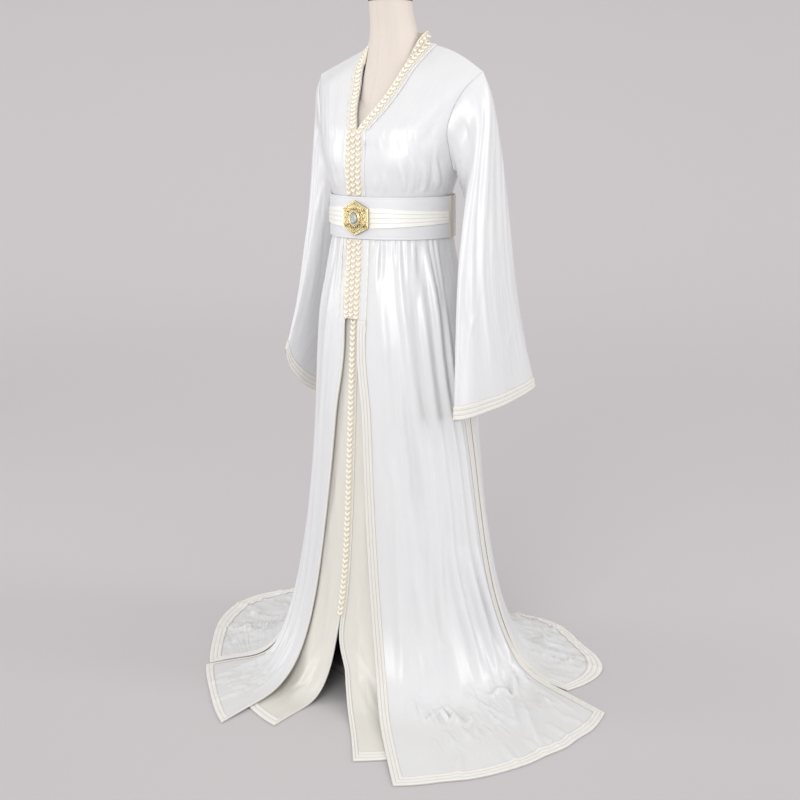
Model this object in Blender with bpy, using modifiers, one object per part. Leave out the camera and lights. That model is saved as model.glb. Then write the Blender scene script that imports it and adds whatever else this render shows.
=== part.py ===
"""A long satin kaftan with an underskirt and belt, worn by a limbless dress form.

Metres, +Z up. The origin is on the floor under the pole. The wearer faces -Y and
the wearer's left is +X. Every cloth piece is a closed wall over a grid of points:
rows run from the shoulder to the hem, columns run across the piece.
"""

import math

import bmesh
import bpy
import numpy as np

# ---------------------------------------------------------------- driving sizes
CLOTH = 0.0015             # cloth wall
SEAM_GAP = 0.0005          # between pieces that meet
LAY_GAP = 0.0004           # under a trim that lies on a panel
RIBBON = 0.0010            # thickness of a flat edge ribbon
EDGE_WIDTH = 0.021         # edge ribbon along openings and slits
UNDER_EDGE_WIDTH = 0.017   # the same on the underskirt
HEM_WIDTH = 0.027          # edge ribbon along hems
NECK_STRIP = 0.028         # braid along the V neck
WIDE_BRAID = 0.042         # braid down the middle of the front
KNOT_PITCH = 0.0112        # one knot of a braid
KNOT_HEIGHT = 0.0034       # knots stand this far off their braid
BRAID_BASE = 0.0012

UNDERARM_Z = 1.085
NECK_V_Z = 1.161           # bottom of the V neck
NECK_POINT_X = 0.065       # shoulder seam meets the neck
NECK_POINT_Z = 1.331
SHOULDER_TIP_X = 0.204     # shoulder seam meets the sleeve
SHOULDER_TIP_Z = 1.274
SHOULDER_RISE = {1: 0.010, -1: 0.001}  # how far each shoulder seam, left and right,
                           # arches over a straight line
NECK_BACK_Z = 1.333
CREST_DROP = 0.075         # height over which a shoulder rounds over
BRAID_END_Z = 0.785        # the wide front braid ends and the opening starts
KNOTS_END_Z = 0.165        # the underskirt's knots end and its slit starts
NECK_BAND_HEIGHT = 0.020

BELT_LOW_Z = 0.947
BELT_HIGH_Z = 1.031
BELT_CLOTH = 0.0025
BELT_WIDTH = 0.1330        # half width and depths of the belt's inner face
BELT_FRONT = 0.1210
BELT_BACK = 0.1165
BELT_STRIP_START = 95      # side strips of the belt, degrees from the front
BELT_STRIP_END = 103
WRAP_END = 92              # pleated wrap, degrees to each side
WRAP_PLEATS = 3
WRAP_HALF_FRONT = 0.021
WRAP_HALF_SIDE = 0.009
WRAP_RIB = 0.0014
BUCKLE_HALF_WIDTH = 0.030
BUCKLE_HALF_HEIGHT = 0.035
BUCKLE_SHOULDER = 0.019    # height of the hexagon's upper side corners
BUCKLE_CLEAR = 0.0012      # between the wrap and the buckle's flatter back
STONE_HALF_WIDTH = 0.0080
STONE_HALF_HEIGHT = 0.0105
LAYER_DEPTH = 0.0085       # underskirt inside the kaftan
OVER_HEIGHT = 0.0060       # kaftan where it lies over the underskirt on the floor

POLE_RADIUS = 0.016
BASE_RADIUS = 0.150
BASE_HEIGHT = 0.018
FORM_BOTTOM_Z = 0.760
NECK_TOP_Z = 1.412
NECK_CAP_HEIGHT = 0.030

# Sections of the kaftan's upper part: half width, depth in front and behind of a
# middle that lies a little behind the pole.
BODY_COLUMNS = ("z", "width", "front", "back", "middle")
BODY = (
    (0.989, 0.126, 0.116, 0.110, 0.000),
    (1.031, 0.129, 0.117, 0.110, 0.000),
    (1.090, 0.149, 0.124, 0.112, 0.000),
    (1.161, 0.167, 0.121, 0.118, 0.002),
    (1.200, 0.181, 0.100, 0.112, 0.008),
    (1.240, 0.198, 0.076, 0.100, 0.015),
    (1.274, 0.218, 0.060, 0.085, 0.019),
    (1.305, 0.220, 0.045, 0.072, 0.022),
    (1.340, 0.222, 0.032, 0.066, 0.024),
)
# Guide sections of the hanging skirt, from the belt to where it bends outwards.
SKIRT_COLUMNS = ("name", "z", "left", "right", "front", "back")
SKIRT = (
    ("belt", 0.989, 0.126, 0.126, 0.116, 0.110),
    ("gather", 0.915, 0.133, 0.132, 0.119, 0.115),
    ("hip", 0.820, 0.165, 0.157, 0.140, 0.140),
    ("thigh", 0.670, 0.179, 0.163, 0.149, 0.152),
    ("knee", 0.503, 0.189, 0.168, 0.158, 0.164),
    ("calf", 0.335, 0.208, 0.186, 0.175, 0.178),
    ("ankle", 0.177, 0.234, 0.206, 0.200, 0.205),
    ("bend", 0.056, 0.270, 0.242, 0.247, 0.262),
)
# The armhole at equal steps from underarm to shoulder tip: angle from the front.
ARMHOLE_ANGLES = (90.0, 76.0, 68.0, 66.0, 69.1)
NECK_SHARE = 0.40          # share of the armhole's rows that lies below the V

# Edges of the skirt panels: degrees from the front towards the wearer's left.
EDGE_COLUMNS = ("belt", "gather", "hip", "thigh", "knee", "calf", "ankle", "bend",
                "touch", "lie", "hem")
HEM_PLACE = len(EDGE_COLUMNS) - 1
EDGES = {
    "left opening": (0, 0, 0, 8, 11, 15, 20, 26, 31, 34, 36),
    "left slit": (90, 90, 90, 90, 102, 103, 105, 110, 107, 98, 93),
    "right opening": (0, 0, 0, -11, -15, -18, -19, -18, -15, -12.5, -10.5),
    "right slit": (-90, -90, -90, -90, -84, -74, -64, -56, -52, -50, -47.5),
    "back left": (90, 90, 90, 90, 103, 104.2, 106.2, 111.2, 108.2, 101.5, 100),
    "back right": (270, 270, 270, 270, 275.2, 285.2, 295.2, 303.2, 307.2, 309.2, 311.7),
    "under left": (0, 0, 0, 0, 0, 0, 2.5, 10, 18, 24, 27),
    "under right": (0, 0, 0, 0, 0, 0, 2.5, 3, 1.5, 0.5, 1),
    "seam left": (90,) * len(EDGE_COLUMNS),
    "seam right": (-90,) * len(EDGE_COLUMNS),
    "seam far": (270,) * len(EDGE_COLUMNS),
}
SEAM_ANGLE = 0.13          # half a seam gap, in degrees, at the waist

# Each panel: its two edges, how deep it lies, columns, and at equal steps across
# it the distance from the pole where it meets the floor and where its hem lies.
PANELS = {
    "outer_front_left": dict(
        edges=("left opening", "left slit"), depth=0.0, columns=22, waves=10,
        touch=(0.330, 0.335, 0.330, 0.320, 0.310),
        hem=(0.571, 0.566, 0.550, 0.540, 0.516)),
    "outer_front_right": dict(
        edges=("right opening", "right slit"), depth=0.0, columns=14, waves=6,
        touch=(0.318, 0.300, 0.285), hem=(0.473, 0.420, 0.418)),
    "outer_back": dict(
        edges=("back left", "back right"), depth=0.0, columns=26, waves=13,
        touch=(0.300, 0.315, 0.320, 0.320, 0.320, 0.315, 0.290),
        hem=(0.410, 0.490, 0.420, 0.446, 0.346, 0.415, 0.430, 0.440, 0.455, 0.522, 0.480,
             0.422, 0.410)),
    "under_front_left": dict(
        edges=("under left", "seam left"), depth=LAYER_DEPTH, columns=7, waves=3,
        touch=(0.300, 0.290, 0.280), hem=(0.486, 0.440, 0.380)),
    "under_front_right": dict(
        edges=("under right", "seam right"), depth=LAYER_DEPTH, columns=7, waves=3,
        touch=(0.280, 0.275, 0.280), hem=(0.412, 0.345, 0.340)),
    "under_back": dict(
        edges=("seam left", "seam far"), depth=LAYER_DEPTH, columns=8, waves=4,
        touch=(0.280, 0.290, 0.280), hem=(0.380, 0.350, 0.340)),
}
# Long folds: where each starts and ends across its panel, its width at the belt and
# the hem as a share of the panel, its height, and the guides it runs between.
FOLD_COLUMNS = ("top", "foot", "top_width", "foot_width", "height", "start", "end")
FOLDS = {
    "outer_front_left": (
        (0.22, 0.17, 0.16, 0.24, 0.003, 1.0, 7.5),
        (0.47, 0.44, 0.18, 0.24, 0.005, 0.8, 9.0),
        (0.66, 0.65, 0.14, 0.18, 0.006, 1.0, 9.6),
        (0.80, 0.80, 0.12, 0.15, 0.007, 0.8, 9.2),
        (0.92, 0.91, 0.10, 0.13, 0.006, 1.4, 9.8),
    ),
    "outer_front_right": (
        (0.30, 0.25, 0.20, 0.24, 0.004, 0.8, 8.6),
        (0.60, 0.55, 0.20, 0.24, 0.006, 0.8, 9.4),
        (0.85, 0.82, 0.20, 0.24, 0.006, 1.2, 9.8),
    ),
    "outer_back": (
        (0.11, 0.10, 0.08, 0.09, 0.005, 0.8, 9.6),
        (0.23, 0.22, 0.09, 0.11, 0.009, 0.8, 9.6),
        (0.36, 0.35, 0.09, 0.11, 0.008, 0.8, 9.2),
        (0.50, 0.50, 0.09, 0.11, 0.010, 0.8, 9.7),
        (0.64, 0.65, 0.09, 0.11, 0.008, 0.8, 9.3),
        (0.78, 0.78, 0.09, 0.11, 0.009, 0.8, 9.9),
        (0.90, 0.90, 0.08, 0.10, 0.006, 0.8, 9.5),
    ),
    "under_front_left": ((0.3, 0.3, 0.3, 0.3, 0.003, 1.5, 8.0),),
    "under_front_right": ((0.3, 0.3, 0.3, 0.3, 0.003, 1.5, 8.0),),
    "under_back": (),
}
GATHER_HEIGHT = 0.0022     # half height of the gathers under the belt

# Sleeves hang empty and flat. Guides from the armhole to the cuff, for the ridge on
# the outside, the front fold, the underarm seam and the rear fold.
SLEEVE_COLUMNS = ("ridge", "front", "under", "rear")
SLEEVE_LEFT = (
    ((0.204, 0.020, 1.274), (0.172, -0.028, 1.205), (0.149, 0.000, 1.085), (0.172, 0.055, 1.200)),
    ((0.221, 0.022, 1.235), (0.196, -0.014, 1.165), (0.161, 0.010, 1.052), (0.197, 0.072, 1.160)),
    ((0.227, 0.010, 1.130), (0.2085, -0.024, 1.085), (0.180, 0.020, 1.010), (0.2155, 0.090, 1.090)),
    ((0.235, -0.020, 0.960), (0.2115, -0.066, 0.960), (0.198, 0.020, 0.920), (0.2245, 0.106, 0.930)),
    ((0.243, -0.015, 0.790), (0.217, -0.084, 0.800), (0.205, 0.020, 0.780), (0.230, 0.138, 0.765)),
    ((0.254, 0.020, 0.606), (0.235, -0.115, 0.604), (0.214, 0.030, 0.590), (0.235, 0.197, 0.618)),
)
SLEEVE_RIGHT = (
    ((-0.204, 0.020, 1.274), (-0.172, -0.028, 1.205), (-0.149, 0.000, 1.085), (-0.172, 0.055, 1.200)),
    ((-0.216, 0.026, 1.235), (-0.194, -0.002, 1.165), (-0.161, 0.014, 1.052), (-0.197, 0.072, 1.160)),
    ((-0.219, 0.024, 1.130), (-0.199, -0.002, 1.085), (-0.175, 0.024, 1.010), (-0.208, 0.088, 1.090)),
    ((-0.229, 0.020, 0.960), (-0.203, -0.022, 0.960), (-0.191, 0.026, 0.920), (-0.216, 0.100, 0.930)),
    ((-0.243, 0.016, 0.800), (-0.215, -0.044, 0.810), (-0.203, 0.026, 0.780), (-0.230, 0.125, 0.770)),
    ((-0.262, 0.030, 0.628), (-0.234, -0.077, 0.690), (-0.226, 0.010, 0.583), (-0.240, 0.160, 0.610)),
)
SLEEVE_PLACES = (0.0, 0.25, 0.55, 0.9, 1.3, 1.8, 2.3, 2.8, 3.4, 4.0, 4.45)
RIDGE_SHARPNESS = 1.15     # over 1 pinches the folds of the flattened tube
CAP_SPREAD = 0.007         # the sleeve's cap stands off below the shoulder

BODY_ROWS = (1.0, 0.85, 0.70, 0.55, NECK_SHARE, 0.2, 0.0)
SKIRT_PLACES = (0.0, 0.6, 1.15, 1.7, 2.25, 3.0, 3.8, 4.6, 5.4, 6.1, 6.6, 7.0, 7.4,
                7.8, 8.2, 8.7, 9.2)
UNDER_PLACES = (0.0, 0.9, 1.8, 3.0, 4.2, 5.3, 6.15, 6.8, 7.3, 7.7, 8.1, 8.5, 9.1)
OPENING_PLACE = 2.25       # guide place of BRAID_END_Z
SLIT_PLACE = 3.0
UNDER_SLIT_PLACE = 6.15    # guide place of KNOTS_END_Z
KNOTS_END_X = 0.009        # the underskirt's front line drifts this far off centre

# Sections of the dress form: height, half width, depth in front and behind, middle.
FORM = (
    (0.760, 0.110, 0.095, 0.095, 0.000),
    (0.770, 0.128, 0.111, 0.111, 0.000),
    (0.820, 0.136, 0.116, 0.117, 0.000),
    (0.900, 0.119, 0.103, 0.103, 0.000),
    (0.975, 0.109, 0.099, 0.094, 0.000),
    (1.031, 0.116, 0.105, 0.098, 0.000),
    (1.090, 0.136, 0.112, 0.101, 0.000),
    (1.161, 0.154, 0.109, 0.106, 0.002),
    (1.200, 0.166, 0.088, 0.100, 0.008),
    (1.240, 0.176, 0.062, 0.084, 0.014),
    (1.262, 0.168, 0.046, 0.062, 0.018),
    (1.280, 0.140, 0.040, 0.048, 0.020),
    (1.297, 0.105, 0.035, 0.040, 0.021),
    (1.310, 0.072, 0.030, 0.034, 0.021),
)
FORM_AROUND = 24
# Sections of the form's neck, which runs out into the chest below the throat.
NECK = (
    (1.180, 0.070, 0.086, 0.050, 0.000),
    (1.220, 0.068, 0.073, 0.060, 0.000),
    (1.260, 0.064, 0.060, 0.060, 0.002),
    (1.300, 0.0585, 0.056, 0.056, 0.008),
    (1.338, 0.0535, 0.053, 0.053, 0.009),
    (1.362, 0.0475, 0.047, 0.047, 0.002),
    (1.385, 0.0447, 0.044, 0.044, -0.004),
    (NECK_TOP_Z, 0.0433, 0.043, 0.043, -0.009),
)
NECK_CAP_Y = -0.009


# ------------------------------------------------------------------ small tools
def clean_scene():
    for item in list(bpy.data.objects):
        bpy.data.objects.remove(item, do_unlink=True)


def smooth_step(value):
    value = min(max(value, 0.0), 1.0)
    return value * value * (3.0 - 2.0 * value)


def mix(first, second, share):
    return first + (second - first) * share


def guide_curve(guides, place):
    """Point on the cubic B-spline that starts and ends on its outer guides."""
    guides = [np.asarray(guide, float) for guide in guides]
    chain = [2 * guides[0] - guides[1]] + guides + [2 * guides[-1] - guides[-2]]
    span = min(int(place), len(guides) - 2)
    t = place - span
    weights = ((1 - t) ** 3, 3 * t**3 - 6 * t**2 + 4, -3 * t**3 + 3 * t**2 + 3 * t + 1, t**3)
    return sum(weight * chain[span + i] for i, weight in enumerate(weights)) / 6.0


def across(values, share):
    """Smooth value at a share of a row of equally spaced values."""
    return float(guide_curve(values, share * (len(values) - 1)))


def material(name, colour, roughness, metallic=0.0):
    made = bpy.data.materials.new(name)
    made.use_nodes = True
    shader = made.node_tree.nodes["Principled BSDF"]
    shader.inputs["Base Color"].default_value = (*colour, 1.0)
    shader.inputs["Roughness"].default_value = roughness
    shader.inputs["Metallic"].default_value = metallic
    return made


def add_object(name, vertices, faces, finish):
    """New object in the kaftan's collection, with its faces turned outwards."""
    mesh = bpy.data.meshes.new(name)
    mesh.from_pydata([tuple(vertex) for vertex in vertices], [], faces)
    mesh.update()
    work = bmesh.new()
    work.from_mesh(mesh)
    bmesh.ops.recalc_face_normals(work, faces=work.faces)
    work.to_mesh(mesh)
    work.free()
    mesh.shade_smooth()
    mesh.set_sharp_from_angle(angle=math.radians(50))
    item = bpy.data.objects.new(name, mesh)
    item.data.materials.append(finish)
    bpy.data.collections["kaftan"].objects.link(item)
    return item


def grid_normals(points, ring=False):
    """Unit normals of a grid of points, rows by columns, facing away from the pole."""
    rows, columns, _ = points.shape
    down = np.gradient(points, axis=0)
    if ring:
        ahead = np.roll(points, -1, axis=1) - points
        ahead /= np.linalg.norm(ahead, axis=2, keepdims=True)
        side = ahead + np.roll(ahead, 1, axis=1)
    else:
        side = np.gradient(points, axis=1)
    normals = np.cross(down, side)
    normals /= np.linalg.norm(normals, axis=2, keepdims=True)
    return normals


def grid_quads(rows, columns, ring=False):
    """Cells of a grid, each as four indices into its flattened points."""
    quads = {}
    for row in range(rows - 1):
        for column in range(columns if ring else columns - 1):
            after = (column + 1) % columns
            quads[row, column] = (row * columns + column, row * columns + after,
                                  (row + 1) * columns + after, (row + 1) * columns + column)
    return quads


def wall(name, points, normals, quads, low, high, finish):
    """Closed wall over grid cells, between two heights above the grid's points."""
    points = points.reshape(-1, 3)
    normals = normals.reshape(-1, 3)
    low = np.broadcast_to(np.asarray(low, float).reshape(-1, 1), (len(points), 1))
    high = np.broadcast_to(np.asarray(high, float).reshape(-1, 1), (len(points), 1))
    used = sorted({index for quad in quads for index in quad})
    order = {index: number for number, index in enumerate(used)}
    top = points[used] + normals[used] * high[used]
    bottom = points[used] + normals[used] * low[used]
    count = len(used)
    faces = []
    rims = {}
    for quad in quads:
        cell = [order[index] for index in quad]
        for half in (cell[:3], [cell[0], cell[2], cell[3]]):
            faces.append(half)
            faces.append([index + count for index in reversed(half)])
        for first, second in zip(cell, cell[1:] + cell[:1]):
            if (second, first) in rims:
                del rims[second, first]
            else:
                rims[first, second] = True
    for first, second in rims:
        faces.append([second, first, first + count, second + count])
    return add_object(name, np.vstack([top, bottom]), faces, finish)


# ------------------------------------------------------------- the kaftan's form
def body_section(z):
    """Half width, front depth, back depth and middle of the kaftan at a height."""
    heights = [row[0] for row in BODY]
    columns = range(1, len(BODY_COLUMNS))
    return [float(np.interp(z, heights, [row[i] for row in BODY])) for i in columns]


def shoulder_height(x):
    """Height of the shoulder seam; x is over zero on the wearer's left."""
    along = (abs(x) - NECK_POINT_X) / (SHOULDER_TIP_X - NECK_POINT_X)
    rise = SHOULDER_RISE[1 if x > 0 else -1]
    arched = rise * math.sin(math.pi * min(max(along, 0.0), 1.0))
    return mix(NECK_POINT_Z, SHOULDER_TIP_Z, along) + arched


def body_point(x, z, facing):
    """Point of the upper part; facing is -1 in front and +1 behind."""
    width, front, back, middle = body_section(z)
    depth = front if facing < 0 else back
    roundness = math.sqrt(max(0.0, 1.0 - min(1.0, abs(x) / width) ** 2))
    below = min(1.0, max(0.0, shoulder_height(x) - z) / CREST_DROP)
    crest = math.sqrt(max(0.0, 1.0 - (1.0 - below) ** 2))
    return np.array([x, middle + facing * (depth * roundness * crest + SEAM_GAP / 2), z])


def armhole(share):
    """Angle, half width and height of the armhole's edge at a share of its height."""
    steps = np.linspace(0.0, 1.0, len(ARMHOLE_ANGLES))
    angle = math.radians(np.interp(share, steps, ARMHOLE_ANGLES))
    z = mix(UNDERARM_Z, SHOULDER_TIP_Z, share)
    return angle, body_section(z)[0] * math.sin(angle), z


def neck_edge(share):
    """x and z of a front's inner edge: straight up to the V, then along it."""
    if share <= NECK_SHARE:
        return SEAM_GAP / 2, mix(UNDERARM_Z, NECK_V_Z, share / NECK_SHARE)
    climb = (share - NECK_SHARE) / (1.0 - NECK_SHARE)
    return max(SEAM_GAP / 2, NECK_POINT_X * climb**0.75), mix(NECK_V_Z, NECK_POINT_Z, climb)


def front_body_point(share, run, side):
    """Point of a front at a share of its height and a share of the way across."""
    neck_x, neck_z = neck_edge(share)
    angle, arm_x, arm_z = armhole(share)
    radius = arm_x / math.sin(angle)
    x = radius * math.sin(mix(math.asin(neck_x / radius), angle, run))
    z = mix(neck_z, arm_z, (x - neck_x) / (arm_x - neck_x))
    z += SHOULDER_RISE[side] * math.sin(math.pi * (x - neck_x) / (arm_x - neck_x)) * share**4
    return body_point(side * x, z, -1)


def back_body_point(share, run):
    """Point of the back at a share of its height, from the left side to the right."""
    angle, arm_x, _ = armhole(share)
    x = arm_x * math.sin(mix(math.pi - angle, math.pi + angle, run)) / math.sin(angle)
    top = min(shoulder_height(x * SHOULDER_TIP_X / arm_x), NECK_BACK_Z)
    return body_point(x, mix(UNDERARM_Z, top, share), +1)


def edge_angles(panel, run):
    """Angle of each guide at a share of the way across a skirt panel."""
    first, last = (EDGES[edge] for edge in panel["edges"])
    turn = math.copysign(SEAM_ANGLE, last[0] - first[0])
    return [math.radians(mix(start + turn, end - turn, run)) for start, end in zip(first, last)]


def skirt_guides(panel, run):
    """Guide points of a skirt panel, belt to hem, at a share of the way across."""
    angles = edge_angles(panel, run)
    depth = panel["depth"]
    guides = []
    for row, angle in zip(SKIRT, angles):
        size = dict(zip(SKIRT_COLUMNS, row))
        width = size["left" if math.sin(angle) > 0 else "right"] - depth
        reach = size["front" if math.cos(angle) > 0 else "back"] - depth
        guides.append((width * math.sin(angle), -reach * math.cos(angle), size["z"]))
    touch, hem = across(panel["touch"], run), across(panel["hem"], run)
    over = OVER_HEIGHT if depth == 0 else CLOTH
    radii = (touch, mix(touch, hem, 0.5), hem)
    for radius, z, angle in zip(radii, (over, over, CLOTH), angles[len(SKIRT):]):
        guides.append((radius * math.sin(angle), -radius * math.cos(angle), z))
    return guides


def waist_point(panel, run, z):
    """Point of the kaftan at a height under the belt."""
    angle = edge_angles(panel, run)[0]
    width = body_section(z)[0]
    return body_point(width * math.sin(angle), z, -1 if math.cos(angle) > 0 else 1)


def spread_row(point_at, first_width, last_width, columns):
    """Points across a panel: its two edge strips and even columns between them."""
    runs = np.linspace(0.0, 1.0, 49)
    line = np.array([point_at(run) for run in runs])
    travel = np.concatenate([[0.0], np.cumsum(np.linalg.norm(np.diff(line, axis=0), axis=1))])
    inner = np.linspace(first_width, travel[-1] - last_width, columns - 1)
    stops = np.concatenate([[0.0], inner, [travel[-1]]])
    return [point_at(run) for run in np.interp(stops, travel, runs)]


def fold_height(name, run, place):
    """How far the long folds and the gathers under the belt stand off a panel."""
    height = 0.0
    down = place / HEM_PLACE
    for row in FOLDS[name]:
        fold = dict(zip(FOLD_COLUMNS, row))
        half_width = mix(fold["top_width"], fold["foot_width"], down) / 2
        away = abs(run - mix(fold["top"], fold["foot"], down)) / half_width
        if away < 1.0 and fold["start"] < place < fold["end"]:
            rise = smooth_step((place - fold["start"]) / 1.5) * smooth_step((fold["end"] - place) / 2.0)
            height += fold["height"] * rise * 0.5 * (1 + math.cos(math.pi * away))
    gathered = smooth_step((place - 0.6) / 0.6) * (1 - smooth_step((place - 1.2) / 2.6))
    waves = PANELS[name]["waves"]
    return height + GATHER_HEIGHT * gathered * (1 - math.cos(2 * math.pi * waves * run))


def upper_rows(name, panel):
    """Rows of an outer panel above the belt's middle, each with its place's number.

    Places under zero are above the belt: -1 at the underarm, -2 at the shoulder."""
    rows = []
    for share in BODY_ROWS:
        strip = EDGE_WIDTH
        if name == "outer_back":
            point_at = lambda run: back_body_point(share, run)
        else:
            side = 1 if name.endswith("left") else -1
            strip = NECK_STRIP if share >= NECK_SHARE else EDGE_WIDTH
            point_at = lambda run: front_body_point(share, run, side)
        rows.append((-1.0 - share, spread_row(point_at, strip, EDGE_WIDTH, panel["columns"])))
    belt_row = spread_row(lambda run: waist_point(panel, run, BELT_HIGH_Z), EDGE_WIDTH, EDGE_WIDTH,
                          panel["columns"])
    return rows + [(-0.5, belt_row)]


def panel_grid(name):
    """Outer points and normals of a panel, and the place of each of its rows."""
    panel = PANELS[name]
    outer = panel["depth"] == 0
    edge = EDGE_WIDTH if outer else UNDER_EDGE_WIDTH
    rows = upper_rows(name, panel) if outer else []
    flat_length = 0.5 * (np.mean(panel["hem"]) - np.mean(panel["touch"]))
    hem_places = (HEM_PLACE - HEM_WIDTH / flat_length, HEM_PLACE)
    for place in (SKIRT_PLACES if outer else UNDER_PLACES) + hem_places:
        point_at = lambda run: guide_curve(skirt_guides(panel, run), place)
        rows.append((place, spread_row(point_at, edge, edge, panel["columns"])))
    places = [place for place, _ in rows]
    points = np.array([row for _, row in rows])
    outward = -1.0 if name.endswith("front_right") else 1.0
    close_front(name, places, points, edge)
    normals = outward * grid_normals(points)
    inner_columns = panel["columns"] - 2
    for row, place in enumerate(places):
        for column in range(panel["columns"] + 1):
            run = min(max((column - 1) / inner_columns, 0.0), 1.0)
            if place > 0:
                points[row, column] += normals[row, column] * fold_height(name, run, place)
    normals = outward * grid_normals(points)
    square_seams(name, places, normals)
    return points, normals, places


def close_front(name, places, points, edge):
    """Bring a front's inner edge to the middle line down to where it opens."""
    if not name.endswith(("front_left", "front_right")):
        return
    outer = name.startswith("outer")
    side = 1 if name.endswith("left") else -1
    for row, place in enumerate(places):
        if -1.0 - NECK_SHARE <= place <= (OPENING_PLACE if outer else UNDER_SLIT_PLACE):
            middle = 0.0 if outer else KNOTS_END_X * smooth_step((place - 3.6) / 2.6)
            points[row, 0, 0] = middle + side * SEAM_GAP / 2
            points[row, 1, 0] = middle + side * edge


def square_seams(name, places, normals):
    """Turn the normals along seams into the seam's own plane, so that walls meet flush."""
    front = name != "outer_back" and name != "under_back"
    for row, place in enumerate(places):
        if front and -1.0 - NECK_SHARE < place < 1.5:
            normals[row, 0, 0] = 0.0
        if not front and -1.0 <= place < SLIT_PLACE - 0.5:
            normals[row, 0, 1] = 0.0
        if -1.0 <= place < SLIT_PLACE - 0.5:
            normals[row, -1, 1] = 0.0
        if place == -2.0:
            normals[row, :, 1] = 0.0
    normals /= np.linalg.norm(normals, axis=2, keepdims=True)


# -------------------------------------------------------------------- the pieces
def build_panel(name, finish):
    points, normals, places = panel_grid(name)
    quads = grid_quads(*points.shape[:2])
    wall(name, points, normals, quads.values(), -CLOTH, 0.0, finish)
    return points, normals, places


def build_ribbon(name, grid, first_from, last_from, finish):
    """Flat ribbon on a panel's hem and on its edges below the given places."""
    points, normals, places = grid
    rows, columns = points.shape[:2]
    quads = []
    for (row, column), quad in grid_quads(rows, columns).items():
        on_first = column == 0 and places[row] >= first_from
        on_last = column == columns - 2 and places[row] >= last_from
        if on_first or on_last or row == rows - 2:
            quads.append(quad)
    wall(name, points, normals, quads, LAY_GAP, LAY_GAP + RIBBON, finish)


def on_strip(grid, row, distance):
    """Point and normal of a panel's first strip, at a broken row number and a
    distance from the panel's first edge."""
    points, normals, _ = grid
    low = min(int(row), len(points) - 2)
    part = row - low
    edge = mix(points[low, 0], points[low + 1, 0], part)
    inner = mix(points[low, 1], points[low + 1, 1], part)
    share = distance / np.linalg.norm(inner - edge)
    edge_normal = mix(normals[low, 0], normals[low + 1, 0], part)
    inner_normal = mix(normals[low, 1], normals[low + 1, 1], part)
    return mix(edge, inner, share), mix(edge_normal, inner_normal, share)


def braid_rows(grid, first_row, last_row, first_z=None, last_z=None):
    """Broken row numbers, two for each knot, evenly along a panel's first edge."""
    numbers = np.linspace(first_row, last_row, 121)
    line = np.array([on_strip(grid, number, 0.0)[0] for number in numbers])
    if first_z is not None:
        inside = (line[:, 2] <= first_z) & (line[:, 2] >= last_z)
        numbers, line = numbers[inside], line[inside]
    travel = np.concatenate([[0.0], np.cumsum(np.linalg.norm(np.diff(line, axis=0), axis=1))])
    halves = 2 * round(travel[-1] / KNOT_PITCH)
    return np.interp(np.linspace(0.0, travel[-1], halves + 1), travel, numbers)


def build_braid(name, grids, rows, distances, bumps, base, finish):
    """Raised braid over the first strips of one panel or of two that face each other.

    A distance under zero is measured on the second panel. The knots rise from the
    outside; the inside is plain, with one row of points for each knot."""
    outside = []
    inside = []
    columns = len(distances(0))
    seats = (0, columns // 2, columns - 1) if len(grids) == 2 else (0, columns - 1)
    for number, row in enumerate(rows):
        for column, distance in enumerate(distances(number)):
            point, normal = on_strip(grids[0 if distance >= 0 else 1], row, abs(distance))
            if len(grids) == 2 and distance == 0.0:
                facing, facing_normal = on_strip(grids[1], row, 0.0)
                point, normal = (point + facing) / 2, (normal + facing_normal) / 2
            outside.append(point + normal * (base + BRAID_BASE + bumps(number, column)))
            if number % 2 == 0 and column in seats:
                inside.append(point + normal * base)
    shift = len(outside)
    seat_count = len(seats)
    faces = list(grid_quads(len(rows), columns).values())
    for quad in grid_quads(len(rows) // 2 + 1, seat_count).values():
        faces.append([shift + index for index in reversed(quad)])
    for knot in range(len(rows) // 2):
        top, foot = 2 * knot * columns, shift + knot * seat_count
        for end, seat_end in ((0, 0), (columns - 1, seat_count - 1)):
            rim = [top + end + step * columns for step in (0, 1, 2)]
            faces.append(rim + [foot + seat_end + seat_count, foot + seat_end])
    for top, foot in ((0, shift), (shift - columns, shift + len(inside) - seat_count)):
        seat = [foot + index for index in reversed(range(seat_count))]
        faces.append([top + column for column in range(columns)] + seat)
    add_object(name, outside + inside, faces, finish)


def wide_bumps(number, column):
    """Three columns of knots, the middle one set half a knot lower."""
    if column not in (1, 3, 5):
        return 0.0
    raised = (number + (column == 3)) % 2 == 1
    return KNOT_HEIGHT if raised else KNOT_HEIGHT * 0.3


def neck_bumps(number, column):
    """One column of knots beside the neck, and a flat border."""
    if column != 1:
        return 0.0
    return KNOT_HEIGHT if number % 2 else KNOT_HEIGHT * 0.3


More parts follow.
